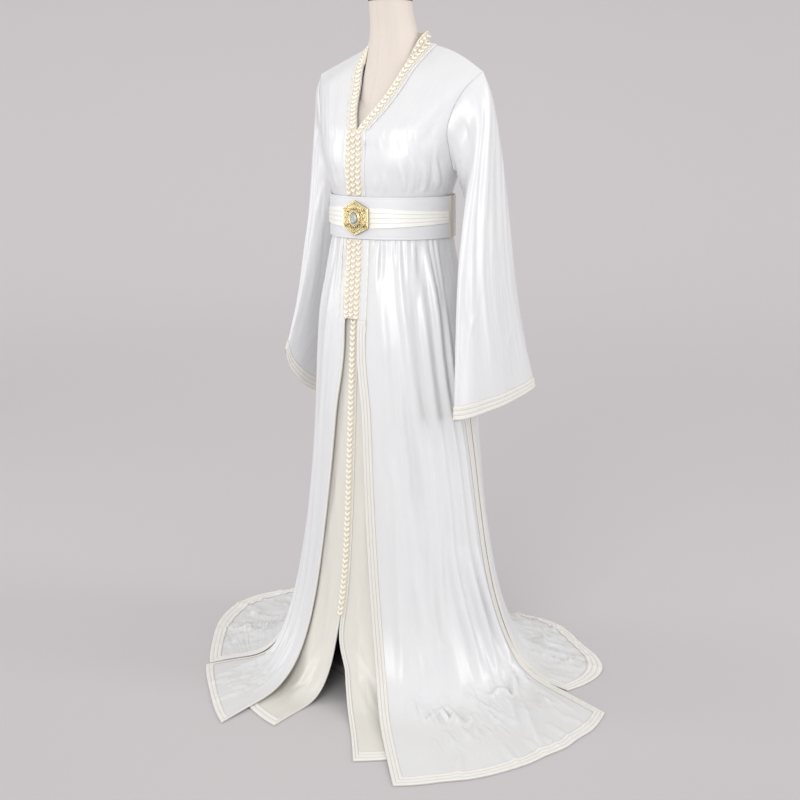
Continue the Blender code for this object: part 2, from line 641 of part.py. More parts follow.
def build_sleeve(name, guides, side, finish):
    """Hanging tube from the armhole to the cuff; returns its grid."""
    half = len(BODY_ROWS) - 1
    points = []
    last_place = len(guides) - 1
    cuff_length = np.linalg.norm(np.subtract(guides[-1][0], guides[-2][0]))
    for place in SLEEVE_PLACES + (last_place - HEM_WIDTH / cuff_length, last_place):
        columns = range(len(SLEEVE_COLUMNS))
        ridge, front, under, rear = (guide_curve([row[i] for row in guides], place) for i in columns)
        middle = (front + rear) / 2
        joined = smooth_step(place)
        for number in range(2 * half):
            turn = math.pi * number / half
            bulge, lean = math.cos(turn), math.sin(turn)
            point = middle + ((ridge if bulge > 0 else under) - middle) * abs(bulge) ** RIDGE_SHARPNESS
            point = point + ((front if lean > 0 else rear) - middle) * abs(lean) ** RIDGE_SHARPNESS
            share = BODY_ROWS[half - abs(half - number)]
            seat = armhole_point(share, -1 if turn < math.pi else 1, side)
            spread = CAP_SPREAD * 4.0 * joined * (1.0 - joined) * math.sqrt(1.0 - share)
            points.append(mix(seat, point, joined) + (side * spread, 0.0, 0.0))
    points = np.array(points).reshape(-1, 2 * half, 3)
    normals = -side * grid_normals(points, ring=True)
    normals[0, :, 0] = 0.0
    normals[0] /= np.linalg.norm(normals[0], axis=1, keepdims=True)
    quads = grid_quads(*points.shape[:2], ring=True)
    wall(name, points, normals, quads.values(), -CLOTH, 0.0, finish)
    cuff = [quad for (row, _), quad in quads.items() if row == len(points) - 2]
    return points, normals, cuff


def armhole_point(share, facing, side):
    """Point just outside the armhole's edge at a share of its height."""
    _, x, z = armhole(share)
    point = body_point(x, z, facing)
    return (point + (SEAM_GAP, 0.0, -SEAM_GAP * (1 - share))) * (side, 1, 1)


def build_neck_band(finish):
    """Low stand round the back of the neck, with knots outside."""
    knots = round(math.pi * NECK_POINT_X / KNOT_PITCH)
    middle_y = body_point(NECK_POINT_X, NECK_POINT_Z, 1)[1] - 0.012
    points = []
    heights = []
    normals = []
    for number in range(2 * knots + 1):
        angle = mix(math.radians(12), math.radians(168), number / (2 * knots))
        outward = np.array([math.cos(angle), math.sin(angle), 0.0])
        for column, z in enumerate((NECK_BACK_Z + 2 * LAY_GAP, NECK_BACK_Z + NECK_BAND_HEIGHT / 2,
                                    NECK_BACK_Z + NECK_BAND_HEIGHT)):
            points.append(outward * NECK_POINT_X + (0.0, middle_y, z))
            normals.append(outward)
            heights.append(BRAID_BASE + neck_bumps(number, column))
    points = np.array(points).reshape(2 * knots + 1, 3, 3)
    quads = grid_quads(*points.shape[:2])
    wall("neck_band", points, np.array(normals), quads.values(), 0.0, np.array(heights), finish)


# ----------------------------------------------------------------------- the belt
def belt_point(angle, z):
    """Inner face of the belt and its outward direction."""
    depth = BELT_FRONT if math.cos(angle) > 0 else BELT_BACK
    point = np.array([BELT_WIDTH * math.sin(angle), -depth * math.cos(angle), z])
    outward = np.array([math.sin(angle) / BELT_WIDTH, -math.cos(angle) / depth, 0.0])
    return point, outward / np.linalg.norm(outward)


def build_belt_arc(name, first, last, steps, levels, low, high, finish):
    """Stretch of the belt between two angles in degrees.

    levels(angle) gives the heights across it; high is one height or one for each."""
    points = []
    normals = []
    for step in range(steps + 1):
        angle = math.radians(mix(first, last, step / steps))
        for z in levels(angle):
            point, outward = belt_point(angle, z)
            points.append(point)
            normals.append(outward)
    grid = np.array(points).reshape(steps + 1, -1, 3)
    high = np.tile(np.broadcast_to(high, grid.shape[1]), steps + 1)
    quads = grid_quads(*grid.shape[:2])
    wall(name, grid, np.array(normals), quads.values(), low, high, finish)


def wrap_levels(angle):
    """Heights of the pleats' edges across the wrap, narrower towards the sides."""
    half = mix(WRAP_HALF_FRONT, WRAP_HALF_SIDE, smooth_step(abs(angle) / math.radians(WRAP_END)))
    middle = (BELT_LOW_Z + BELT_HIGH_Z) / 2
    return np.linspace(middle - half, middle + half, 2 * WRAP_PLEATS + 1)


def build_belt(finishes):
    full = lambda angle: (BELT_LOW_Z, BELT_HIGH_Z)
    cloth = finishes["satin"]
    build_belt_arc("belt_front", -BELT_STRIP_START, BELT_STRIP_START, 24, full, 0.0, BELT_CLOTH, cloth)
    gap = 0.25
    for side, name in ((1, "belt_strip_left"), (-1, "belt_strip_right")):
        ends = (side * (BELT_STRIP_START + gap), side * BELT_STRIP_END)
        build_belt_arc(name, *ends, 3, full, 0.0, BELT_CLOTH * 1.6, finishes["trim"])
    build_belt_arc("belt_back", BELT_STRIP_END + gap, 360 - BELT_STRIP_END - gap, 24, full, 0.0,
                   BELT_CLOTH, cloth)
    low = BELT_CLOTH + LAY_GAP
    ribs = [low + RIBBON + (WRAP_RIB if number % 2 else 0.0) for number in range(2 * WRAP_PLEATS + 1)]
    build_belt_arc("belt_wrap", -WRAP_END, WRAP_END, 24, wrap_levels, low, ribs, cloth)


def build_dome(name, outline, rings, back, finish):
    """Rounded boss on the belt's front: an outline, rings of (share, height) and the
    distance of its back from the belt's inner face."""
    middle_z = (BELT_LOW_Z + BELT_HIGH_Z) / 2
    vertices = []
    for share, height in ((1.0, 0.0),) + rings:
        for x, z in outline:
            angle = math.asin(x * share / BELT_WIDTH)
            point, outward = belt_point(angle, middle_z + z * share)
            vertices.append(point + outward * (back + height))
    point, outward = belt_point(0.0, middle_z)
    vertices += [point + outward * back, point + outward * (back + rings[-1][1])]
    count = len(outline)
    faces = []
    for ring in range(len(rings)):
        for i in range(count):
            after = (i + 1) % count
            start = ring * count
            faces.append((start + i, start + after, start + count + after, start + count + i))
    for i in range(count):
        after = (i + 1) % count
        faces.append((after, i, len(vertices) - 2))
        last = len(rings) * count
        faces.append((last + i, last + after, len(vertices) - 1))
    add_object(name, vertices, faces, finish)


def hexagon_outline():
    """Long hexagon with upright sides, four points on each side."""
    corners = [(0.0, BUCKLE_HALF_HEIGHT), (BUCKLE_HALF_WIDTH, BUCKLE_SHOULDER),
               (BUCKLE_HALF_WIDTH, -BUCKLE_SHOULDER), (0.0, -BUCKLE_HALF_HEIGHT),
               (-BUCKLE_HALF_WIDTH, -BUCKLE_SHOULDER), (-BUCKLE_HALF_WIDTH, BUCKLE_SHOULDER)]
    outline = []
    for (x, z), (next_x, next_z) in zip(corners, corners[1:] + corners[:1]):
        outline += [(mix(x, next_x, i / 4), mix(z, next_z, i / 4)) for i in range(4)]
    return outline


def build_buckle(finishes):
    back = BELT_CLOTH + LAY_GAP + RIBBON + WRAP_RIB + BUCKLE_CLEAR
    rings = ((1.0, 0.0030), (0.90, 0.0052), (0.78, 0.0042), (0.62, 0.0056), (0.40, 0.0060))
    build_dome("buckle", hexagon_outline(), rings, back, finishes["gilt"])
    turns = [2 * math.pi * i / 20 for i in range(20)]
    oval = [(STONE_HALF_WIDTH * math.sin(turn), STONE_HALF_HEIGHT * math.cos(turn)) for turn in turns]
    seat = back + rings[-1][1] + LAY_GAP
    build_dome("buckle_stone", oval, ((1.0, 0.0010), (0.8, 0.0034), (0.45, 0.0048)), seat,
               finishes["stone"])


# ----------------------------------------------------------------- the dress form
def lofted(name, sections, finish):
    """Closed loft over oval sections: height, half width, front, back and middle."""
    vertices = []
    for z, width, front, back, middle in sections:
        for i in range(FORM_AROUND):
            turn = 2 * math.pi * i / FORM_AROUND
            depth = front if math.cos(turn) > 0 else back
            vertices.append((width * math.sin(turn), middle - depth * math.cos(turn), z))
    faces = list(grid_quads(len(sections), FORM_AROUND, ring=True).values())
    last = len(vertices) - FORM_AROUND
    faces.append(tuple(range(FORM_AROUND)))
    faces.append(tuple(last + i for i in range(FORM_AROUND)))
    return add_object(name, vertices, faces, finish)


def build_form(finishes):
    torso = lofted("form_torso", FORM, finishes["linen"])
    neck = lofted("form_neck", NECK, finishes["linen"])
    bpy.data.collections["kaftan"].objects.unlink(neck)
    bpy.data.collections["kaftan cutters"].objects.link(neck)
    neck.hide_render = True
    neck.display_type = "WIRE"
    union = torso.modifiers.new("neck joined", "BOOLEAN")
    union.operation = "UNION"
    union.solver = "EXACT"
    union.object = neck
    build_neck_cap(finishes["wood"])
    pole_length = FORM_BOTTOM_Z - BASE_HEIGHT - 2 * SEAM_GAP
    bpy.ops.mesh.primitive_cylinder_add(
        vertices=16, radius=POLE_RADIUS, depth=pole_length,
        location=(0, 0, BASE_HEIGHT + SEAM_GAP + pole_length / 2))
    adopt("form_pole", finishes["steel"])
    bpy.ops.mesh.primitive_cylinder_add(vertices=40, radius=BASE_RADIUS, depth=BASE_HEIGHT,
                                        location=(0, 0, BASE_HEIGHT / 2))
    base = adopt("form_base", finishes["steel"])
    rounding = base.modifiers.new("rounded rim", "BEVEL")
    rounding.width = 0.004
    rounding.segments = 2
    rounding.limit_method = "ANGLE"


def build_neck_cap(finish):
    """Turned wooden cap on the neck: a profile spun about the neck's axis."""
    low = NECK_TOP_Z + SEAM_GAP
    profile = ((0.0, low + NECK_CAP_HEIGHT), (0.020, low + NECK_CAP_HEIGHT * 0.95),
               (0.039, low + NECK_CAP_HEIGHT * 0.6), (0.0450, low + NECK_CAP_HEIGHT * 0.3),
               (0.0450, low), (0.0, low))
    mesh = bpy.data.meshes.new("form_neck_cap")
    mesh.from_pydata([(radius, 0.0, z) for radius, z in profile],
                     [(i, i + 1) for i in range(len(profile) - 1)], [])
    cap = bpy.data.objects.new("form_neck_cap", mesh)
    bpy.data.collections["kaftan"].objects.link(cap)
    cap.location = (0.0, NECK_CAP_Y, 0.0)
    cap.data.materials.append(finish)
    spin = cap.modifiers.new("turned", "SCREW")
    spin.steps = 24
    spin.render_steps = 24
    spin.use_merge_vertices = True
    spin.merge_threshold = 0.00005


def adopt(name, finish):
    """Name the primitive just added and bring it into the kaftan's collection."""
    item = bpy.context.object
    item.name = name
    item.data.name = name
    item.data.materials.append(finish)
    for holder in list(item.users_collection):
        holder.objects.unlink(item)
    bpy.data.collections["kaftan"].objects.link(item)
    return item


def main():
    clean_scene()
    for name in ("kaftan", "kaftan cutters"):
        bpy.context.scene.collection.children.link(bpy.data.collections.new(name))
    finishes = {
        "satin": material("white satin", (0.86, 0.86, 0.86), 0.35),
        "under": material("underskirt satin", (0.78, 0.77, 0.74), 0.38),
        "trim": material("ivory braid", (0.90, 0.86, 0.74), 0.60),
        "linen": material("form linen", (0.82, 0.76, 0.69), 0.85),
        "wood": material("dark wood", (0.10, 0.05, 0.03), 0.45),
        "steel": material("painted steel", (0.75, 0.75, 0.74), 0.40),
        "gilt": material("gilt brass", (0.80, 0.58, 0.22), 0.28, 1.0),
        "stone": material("clear stone", (0.88, 0.90, 0.88), 0.08),
    }
    grids = {}
    for name, panel in PANELS.items():
        grids[name] = build_panel(name, finishes["satin" if panel["depth"] == 0 else "under"])
    never = HEM_PLACE + 1
    trim = finishes["trim"]
    build_ribbon("ribbon_outer_left", grids["outer_front_left"], OPENING_PLACE, SLIT_PLACE, trim)
    build_ribbon("ribbon_outer_right", grids["outer_front_right"], OPENING_PLACE, SLIT_PLACE, trim)
    build_ribbon("ribbon_outer_back", grids["outer_back"], SLIT_PLACE, SLIT_PLACE, trim)
    build_ribbon("ribbon_under_left", grids["under_front_left"], 1.8, never, trim)
    build_ribbon("ribbon_under_right", grids["under_front_right"], 1.8, never, trim)
    for name, guides, side in (("sleeve_left", SLEEVE_LEFT, 1), ("sleeve_right", SLEEVE_RIGHT, -1)):
        points, normals, cuff = build_sleeve(name, guides, side, finishes["satin"])
        wall(name.replace("sleeve", "cuff_ribbon"), points, normals, cuff, LAY_GAP, LAY_GAP + RIBBON, trim)
    build_braids(grids, trim)
    build_neck_band(trim)
    build_belt(finishes)
    build_buckle(finishes)
    build_form(finishes)


def build_braids(grids, finish):
    fronts = (grids["outer_front_left"], grids["outer_front_right"])
    places = fronts[0][2]
    v_row = BODY_ROWS.index(NECK_SHARE)
    belt_row = places.index(0.0)
    open_row = places.index(OPENING_PLACE)
    half = WIDE_BRAID / 2
    wide = lambda number: [half * share for share in (-1, -0.74, -0.37, 0.0, 0.37, 0.74, 1)]
    upper = braid_rows(fronts[0], v_row, belt_row, NECK_V_Z - 0.001, BELT_HIGH_Z + 0.001)
    lower = braid_rows(fronts[0], belt_row, open_row, BELT_LOW_Z - 0.001, BRAID_END_Z)
    build_braid("braid_upper", fronts, upper, wide, wide_bumps, 2 * LAY_GAP, finish)
    build_braid("braid_lower", fronts, lower, wide, wide_bumps, LAY_GAP, finish)
    beside = lambda number: (0.0006, 0.0065, 0.0130, 0.0265)
    for name, grid in (("braid_neck_left", fronts[0]), ("braid_neck_right", fronts[1])):
        rows = braid_rows(grid, v_row, 0)
        build_braid(name, (grid,), rows, beside, neck_bumps, 2 * LAY_GAP, finish)
    unders = (grids["under_front_left"], grids["under_front_right"])
    rows = braid_rows(unders[0], 2, unders[0][2].index(UNDER_SLIT_PLACE), BRAID_END_Z, KNOTS_END_Z)
    knot = lambda number: [(0.0072 if number % 2 else 0.0055) * share for share in (-1, 0, 1)]
    build_braid("braid_under", unders, rows, knot, neck_bumps, RIBBON + 2 * LAY_GAP, finish)


main()
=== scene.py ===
"""Looks of a white satin kaftan on a limbless dress form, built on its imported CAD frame.

Metres, +Z up. The wearer faces -Y and the wearer's left is +X. Cloth is a thin wall over
a grid of points: rows run from the shoulder to the hem, columns across a piece. A place
numbers a row: -2 at the shoulder, -1 at the underarm, 0 at the waist and 10 at the hem.
A run is a share across a piece, from 0 at its first edge to 1 at its last.
"""

from __future__ import annotations

import logging
import math
from dataclasses import dataclass, field, replace
from enum import Enum
from typing import Callable, Sequence

import bpy
import numpy as np
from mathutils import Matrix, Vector


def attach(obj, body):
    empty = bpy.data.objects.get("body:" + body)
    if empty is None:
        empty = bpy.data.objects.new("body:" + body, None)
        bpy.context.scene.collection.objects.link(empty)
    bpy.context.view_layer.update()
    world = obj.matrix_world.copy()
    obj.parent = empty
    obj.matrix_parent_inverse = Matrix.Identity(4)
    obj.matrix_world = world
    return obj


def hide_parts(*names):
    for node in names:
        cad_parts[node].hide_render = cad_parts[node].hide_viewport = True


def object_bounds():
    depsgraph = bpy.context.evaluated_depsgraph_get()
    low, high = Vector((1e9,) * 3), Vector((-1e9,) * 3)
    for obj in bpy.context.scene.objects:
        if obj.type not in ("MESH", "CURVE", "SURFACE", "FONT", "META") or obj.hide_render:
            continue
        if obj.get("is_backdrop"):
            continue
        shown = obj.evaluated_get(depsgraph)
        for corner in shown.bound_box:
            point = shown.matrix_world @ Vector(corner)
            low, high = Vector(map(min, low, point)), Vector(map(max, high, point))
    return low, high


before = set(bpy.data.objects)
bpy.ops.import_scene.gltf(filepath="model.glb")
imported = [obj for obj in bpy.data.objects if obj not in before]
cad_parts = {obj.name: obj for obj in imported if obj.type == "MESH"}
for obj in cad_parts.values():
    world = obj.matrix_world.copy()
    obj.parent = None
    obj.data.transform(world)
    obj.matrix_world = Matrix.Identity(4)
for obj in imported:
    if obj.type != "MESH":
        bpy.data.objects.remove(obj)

log = logging.getLogger("kaftan")
Array = np.ndarray
Number = np.ndarray | float
Material = bpy.types.Material
CAD_BOX = [list(corner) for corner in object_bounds()]
MM = 0.001
BODY = "root"
UP = np.array([0.0, 0.0, 1.0])


class Slot(Enum):
    """Material slots of the record."""

    SATIN = "satin"
    UNDER_SATIN = "under_satin"
    EDGE_RIBBON = "edge_ribbon"
    BRAID = "braid"
    BELT_SATIN = "belt_satin"
    BELT_EDGING = "belt_edging"
    GILT = "gilt"
    STONE = "stone"
    LINEN = "linen"
    DARK_WOOD = "dark_wood"


class Hold(Enum):
    """How a sheet of cloth is held."""

    HUNG = "hung"
    GATHERED = "gathered"
    STRETCHED = "stretched"
    FOLDED = "folded"


# ------------------------------------------------------------------ curves and grids
def smooth_step(value: Number) -> Number:
    """Ease from 0 to 1."""
    value = np.clip(value, 0.0, 1.0)
    return value * value * (3.0 - 2.0 * value)


def mix(first: Number, second: Number, share: Number) -> Number:
    """Straight mix of two values."""
    return first + (second - first) * share


def unit(vectors: Array) -> Array:
    """Vectors at length one."""
    return vectors / np.maximum(np.linalg.norm(vectors, axis=-1, keepdims=True), 1e-12)


def circle(count: int) -> Array:
    """Angles of points evenly round a circle."""
    return 2 * math.pi * np.arange(count) / count


def between(wanted: Number, stations: Array, rows: Array) -> Array:
    """Rows of values at wanted stations, straight between the given ones."""
    return np.stack([np.interp(wanted, stations, column) for column in rows.T], axis=-1)


def guide_curve(guides: Array, place: float) -> Array:
    """Point on the cubic B-spline that starts and ends on its outer guides.

    Args:
        guides: One guide per row of the first axis.
        place: Number of guides passed, with its fraction.

    Returns:
        The point, in the shape of one guide.
    """
    chain = np.concatenate([2 * guides[:1] - guides[1:2], guides, 2 * guides[-1:] - guides[-2:-1]])
    span = min(int(place), len(guides) - 2)
    t = place - span
    weights = ((1 - t) ** 3, 3 * t**3 - 6 * t**2 + 4, -3 * t**3 + 3 * t**2 + 3 * t + 1, t**3)
    return sum(weight * chain[span + i] for i, weight in enumerate(weights)) / 6.0


def across(values: Sequence[float], shares: Array) -> Array:
    """Smooth values at shares of a row of equally spaced values."""
    row = np.asarray(values, float)
    return np.array([guide_curve(row, share * (len(row) - 1)) for share in shares])


def through(stations: Array, rows: Array, wanted: Array) -> Array:
    """Smooth curve through rows of values that stand at uneven stations.

    Args:
        stations: Rising numbers, one for each row.
        rows: Points, one row for each station.
        wanted: Stations to work out.

    Returns:
        One row of points for each wanted station.
    """
    slopes = np.gradient(rows, stations, axis=0)
    found = np.clip(np.searchsorted(stations, wanted, side="right") - 1, 0, len(stations) - 2)
    made = []
    for low, station in zip(found, wanted):
        step = stations[low + 1] - stations[low]
        t = (station - stations[low]) / step
        made.append(
            rows[low] * (2 * t**3 - 3 * t**2 + 1) + rows[low + 1] * (3 * t**2 - 2 * t**3)
            + step * (slopes[low] * (t**3 - 2 * t**2 + t) + slopes[low + 1] * (t**3 - t**2)))
    return np.array(made)


def travel(points: Array, axis: int = 0) -> Array:
    """Distance travelled along a line of points, or along one axis of a grid of them.

    Args:
        points: The points.
        axis: Axis to travel along.

    Returns:
        The distance of each point from the first.
    """
    steps = np.linalg.norm(np.diff(points, axis=axis), axis=-1)
    start = np.zeros_like(np.take(steps, [0], axis=axis))
    return np.concatenate([start, np.cumsum(steps, axis=axis)], axis=axis)


@dataclass
class ClothGrid:
    """Outer face of a piece of cloth: a grid of points with normals that face out.

    Attributes:
        points: Rows by columns of points.
        outward: Sign that turns the grid's own normals outwards.
        ring: Whether the last column joins the first.
        places: Place of each row.
        runs: Run of each column.
    """

    points: Array
    outward: float = 1.0
    ring: bool = False
    places: Array = field(default_factory=lambda: np.zeros(0))
    runs: Array = field(default_factory=lambda: np.zeros(0))

    def __post_init__(self) -> None:
        """Work out the first normals."""
        self.refresh()

    def refresh(self) -> None:
        """Work out the normals again after the points have moved."""
        side = np.gradient(self.points, axis=1)
        if self.ring:
            ahead = unit(np.roll(self.points, -1, axis=1) - self.points)
            side = ahead + np.roll(ahead, 1, axis=1)
        self.normals = self.outward * unit(np.cross(np.gradient(self.points, axis=0), side))

    def raise_by(self, heights: Array) -> None:
        """Move each point out along its normal."""
        self.points = self.points + self.normals * heights[..., None]
        self.refresh()

    def at(self, row: float, distance: float) -> tuple[Array, Array]:
        """Find a spot by its distance from the first edge.

        Args:
            row: Row number, with its fraction.
            distance: Distance along the row.

        Returns:
            The point and its normal.
        """
        low = int(min(max(math.floor(row), 0), len(self.points) - 2))
        line, normals = (mix(grid[low], grid[low + 1], row - low) for grid in (self.points, self.normals))
        along = travel(line)
        return between(distance, along, line), unit(between(distance, along, normals))

    def row_of(self, place: float) -> float:
        """Row number of a place, with its fraction."""
        return float(np.interp(place, self.places, np.arange(len(self.places))))

    def spot(self, run: float, place: float) -> Array:
        """Find a point.

        Args:
            run: Its run.
            place: Its place.

        Returns:
            The point.
        """
        row, column = self.row_of(place), float(np.interp(run, self.runs, np.arange(len(self.runs))))
        low_row, low_column = int(min(row, len(self.places) - 2)), int(min(column, len(self.runs) - 2))
        corner = self.points[low_row:low_row + 2, low_column:low_column + 2]
        ends = mix(corner[:, 0], corner[:, 1], column - low_column)
        return mix(ends[0], ends[1], row - low_row)

    def cells(self) -> Array:
        """List the cells.

        Returns:
            Rows by columns of cells, each four indices into the flattened points.
        """
        rows, columns = self.points.shape[:2]
        own = np.arange(rows * columns).reshape(rows, columns)
        after = np.roll(own, -1, axis=1)
        if not self.ring:
            own, after = own[:, :-1], after[:, :-1]
        return np.stack([own[:-1], after[:-1], after[1:], own[1:]], axis=2)

    def thinned(self, rows: Array, columns: Array) -> ClothGrid:
        """Take the same face over fewer rows and columns.

        Args:
            rows: Rows to keep.
            columns: Columns to keep.

        Returns:
            The coarser grid, with the fine one's normals.
        """
        part = ClothGrid(self.points[np.ix_(rows, columns)], self.outward, self.ring, self.places[rows],
                         self.runs[columns])
        part.normals = self.normals[np.ix_(rows, columns)]
        return part


@dataclass(frozen=True)
class Crease:
    """A soft ridge, or a trough where its height is under zero, along a line on cloth."""

    line: tuple[tuple[float, float], ...]   # run and place of each point
    width: float                            # full width in millimetres
    height: float                           # in millimetres

    def heights(self, grid: ClothGrid) -> Array:
        """Work out how far the crease moves the points of a grid.

        Args:
            grid: The cloth that it lies on.

        Returns:
            Rows by columns of heights in metres.
        """
        keys = np.array(self.line, float)
        wanted = np.linspace(0.0, 1.0, 6 * (len(keys) - 1) + 1)
        path = through(np.linspace(0.0, 1.0, len(keys)), keys, wanted) if len(keys) > 2 else \
            mix(keys[0], keys[1], wanted[:, None])
        spots = np.array([grid.spot(run, place) for run, place in path])
        flat, half = grid.points.reshape(-1, 3), self.width * MM / 2
        near = np.all((flat >= spots.min(axis=0) - half) & (flat <= spots.max(axis=0) + half), axis=1)
        steps = np.diff(spots, axis=0)[:, None]
        away = flat[near] - spots[:-1, None]
        parts = np.clip(np.sum(away * steps, axis=2) / np.maximum(np.sum(steps**2, axis=2), 1e-12), 0.0, 1.0)
        distances = np.linalg.norm(away - parts[..., None] * steps, axis=2)
        best = distances.argmin(axis=0)
        share = (best + parts[best, np.arange(len(best))]) / len(steps)
        profile = np.clip(1.0 - (distances.min(axis=0) / half) ** 2, 0.0, 1.0) ** 2
        made = np.zeros(len(flat))
        made[near] = self.height * MM * profile * np.sin(math.pi * np.clip(share, 0.0, 1.0)) ** 0.6
        return made.reshape(grid.points.shape[:2])


def crease_rows(*rows: tuple[float, ...]) -> tuple[Crease, ...]:
    """Creases from rows of width and height in mm, then run and place of each point."""
    return tuple(Crease(tuple(zip(row[2::2], row[3::2])), row[0], row[1]) for row in rows)


def wrinkles(seed: int, count: int, runs: tuple[float, float], places: tuple[float, float],
             reach: tuple[float, float], width: float, height: float, troughs: float = 0.4
             ) -> tuple[Crease, ...]:
    """Strew fine uneven wrinkles over part of a piece.

    Args:
        seed: Start of the random draws.
        count: How many there are.
        runs: Runs that they start between.
        places: Places that they start between.
        reach: Change of run and of place from end to end.
        width: Mean width in millimetres.
        height: Mean height in millimetres.
        troughs: Share of them that are troughs.

    Returns:
        The wrinkles.
    """
    draw = np.random.default_rng(seed)
    made = []
    for _ in range(count):
        run, place, size = draw.uniform(*runs), draw.uniform(*places), draw.uniform(0.5, 1.4)
        bend, swell = draw.normal(0.0, 0.010), draw.uniform(0.6, 1.4)
        sign = -1.0 if draw.random() < troughs else 1.0
        line = tuple((run + reach[0] * size * t + bend * math.sin(4 * t), place + reach[1] * size * t)
                     for t in (0.0, 0.33, 0.67, 1.0))
        made.append(Crease(line, width * swell, sign * height * draw.uniform(0.5, 1.3)))
    return tuple(made)


# ---------------------------------------------------------------------- mesh making
@dataclass(frozen=True)
class Patch:
    """Part of a piece: points, faces over them and cloth coordinates in metres."""

    vertices: Array
    faces: list[Sequence[int]]
    uv: Array
    finish: int = 0    # number of the piece's material

    def moved(self, axes: Sequence[Array], origin: Sequence[float]) -> Patch:
        """The patch with its x, y and z along other axes, and moved."""
        return replace(self, vertices=self.vertices @ np.array(axes) + origin)

    def finished(self, number: int) -> Patch:
        """The patch in another of the piece's materials."""
        return replace(self, finish=number)


def build_mesh(name: str, patches: Sequence[Patch], materials: Sequence[Material], sharp: float = 50.0
               ) -> bpy.types.Object:
    """Make an object of patches, smooth apart from sharp edges.

    Args:
        name: Its name.
        patches: Its parts.
        materials: Its materials.
        sharp: Least angle of a sharp edge, in degrees.

    Returns:
        The object.
    """
    starts = np.cumsum([0] + [len(patch.vertices) for patch in patches]).tolist()
    mesh = bpy.data.meshes.new(name)
    mesh.from_pydata(np.vstack([patch.vertices for patch in patches]).tolist(), [],
                     [[corner + start for corner in face]
                      for start, patch in zip(starts, patches) for face in patch.faces])
    corners = np.empty(len(mesh.loops), dtype=np.int32)
    mesh.loops.foreach_get("vertex_index", corners)
    layer = mesh.uv_layers.new(name="cloth")
    layer.data.foreach_set("uv", np.vstack([patch.uv for patch in patches])[corners].ravel())
    for material in materials:
        mesh.materials.append(material)
    mesh.polygons.foreach_set("material_index", [patch.finish for patch in patches for _ in patch.faces])
    mesh.shade_smooth()
    mesh.set_sharp_from_angle(angle=math.radians(sharp))
    mesh.update()
    made = bpy.data.objects.new(name, mesh)
    bpy.context.scene.collection.objects.link(made)
    return made


def install(made: bpy.types.Object, slot: Slot, *nodes: str) -> bpy.types.Object:
    """Put a piece on the body.

    Args:
        made: The piece.
        slot: Its slot; not used.
        nodes: CAD nodes that it stands for.

    Returns:
        The piece.
    """
    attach(made, BODY)
    if nodes:
        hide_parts(*nodes)
        made.name = f"{made.name.split('.')[0]}_dressed"
    log.info("%s: %d faces", made.name, len(made.data.polygons))
    return made


def dress(name: str, patches: Sequence[Patch], materials: Sequence[Material], slot: Slot, sharp: float = 50.0
          ) -> bpy.types.Object:
    """Make the piece that stands for a CAD node, with a sharp edge's least angle in degrees."""
    return install(build_mesh(name, patches, materials, sharp), slot, name)


def wall_patch(grid: ClothGrid, cells: Array, low: Number, high: Number, uv: Array | None = None) -> Patch:
    """Make a closed wall over cells of a grid, between two heights above its points.

    Args:
        grid: The face that the wall follows.
        cells: Cells to cover, four indices each.
        low: Height of the back, one for all or one per point.
        high: Height of the front.
        uv: Cloth coordinates of the grid's points, or None for metres across and down.

    Returns:
        The wall.
    """
    used, cells = np.unique(cells.reshape(-1, 4), return_inverse=True)
    cells = cells.reshape(-1, 4)
    points, normals = (values.reshape(-1, 3)[used] for values in (grid.points, grid.normals))
    count = len(grid.points.reshape(-1, 3))
    front, back = (points + normals * np.broadcast_to(np.ravel(height), count)[used, None]
                   for height in (high, low))
    middle = cells[len(cells) // 2]
    first = front[middle]
    if np.cross(first[1] - first[0], first[3] - first[0]) @ normals[middle[0]] < 0:
        cells = cells[:, ::-1]
    count = len(used)
    starts, ends = cells.ravel(), np.roll(cells, -1, axis=1).ravel()
    lone = ~np.isin(starts * count + ends, ends * count + starts)
    rims = np.stack([starts[lone], starts[lone] + count, ends[lone] + count, ends[lone]], axis=1)
    faces = np.vstack([cells, cells[:, ::-1] + count, rims])
    if uv is None:
        around = travel(grid.points, 1)
        if grid.ring:
            closing = np.linalg.norm(grid.points[:, :1] - grid.points[:, -1:], axis=2)
            around = np.minimum(around, around[:, -1:] + closing - around)
        uv = np.stack([around, travel(grid.points)], axis=2)
    return Patch(np.vstack([front, back]), faces.tolist(), np.tile(uv.reshape(-1, 2)[used], (2, 1)))


def stacked(rings: Array, uv: Array | None = None, closed: bool = False) -> Patch:
    """Make a solid over stacked rings of points.

    Args:
        rings: Rings by points round each, anticlockwise as the last ring's side sees them.
        uv: Cloth coordinates of the points, or None for distances along the surface.
        closed: Whether the last ring joins the first; if not, a flat face closes each end.

    Returns:
        The solid.
    """
    index = np.arange(rings.shape[0] * rings.shape[1]).reshape(rings.shape[:2])
    count = len(rings) - (0 if closed else 1)
    low, high = index[:count], np.roll(index, -1, axis=0)[:count]
    sides = np.stack([low, np.roll(low, -1, axis=1), np.roll(high, -1, axis=1), high], axis=2)
    faces = sides.reshape(-1, 4).tolist() + ([] if closed else [index[0, ::-1].tolist(), index[-1].tolist()])
    if uv is None:
        uv = np.stack([travel(rings, 1), travel(rings)], axis=2)
    return Patch(rings.reshape(-1, 3), faces, uv.reshape(-1, 2))


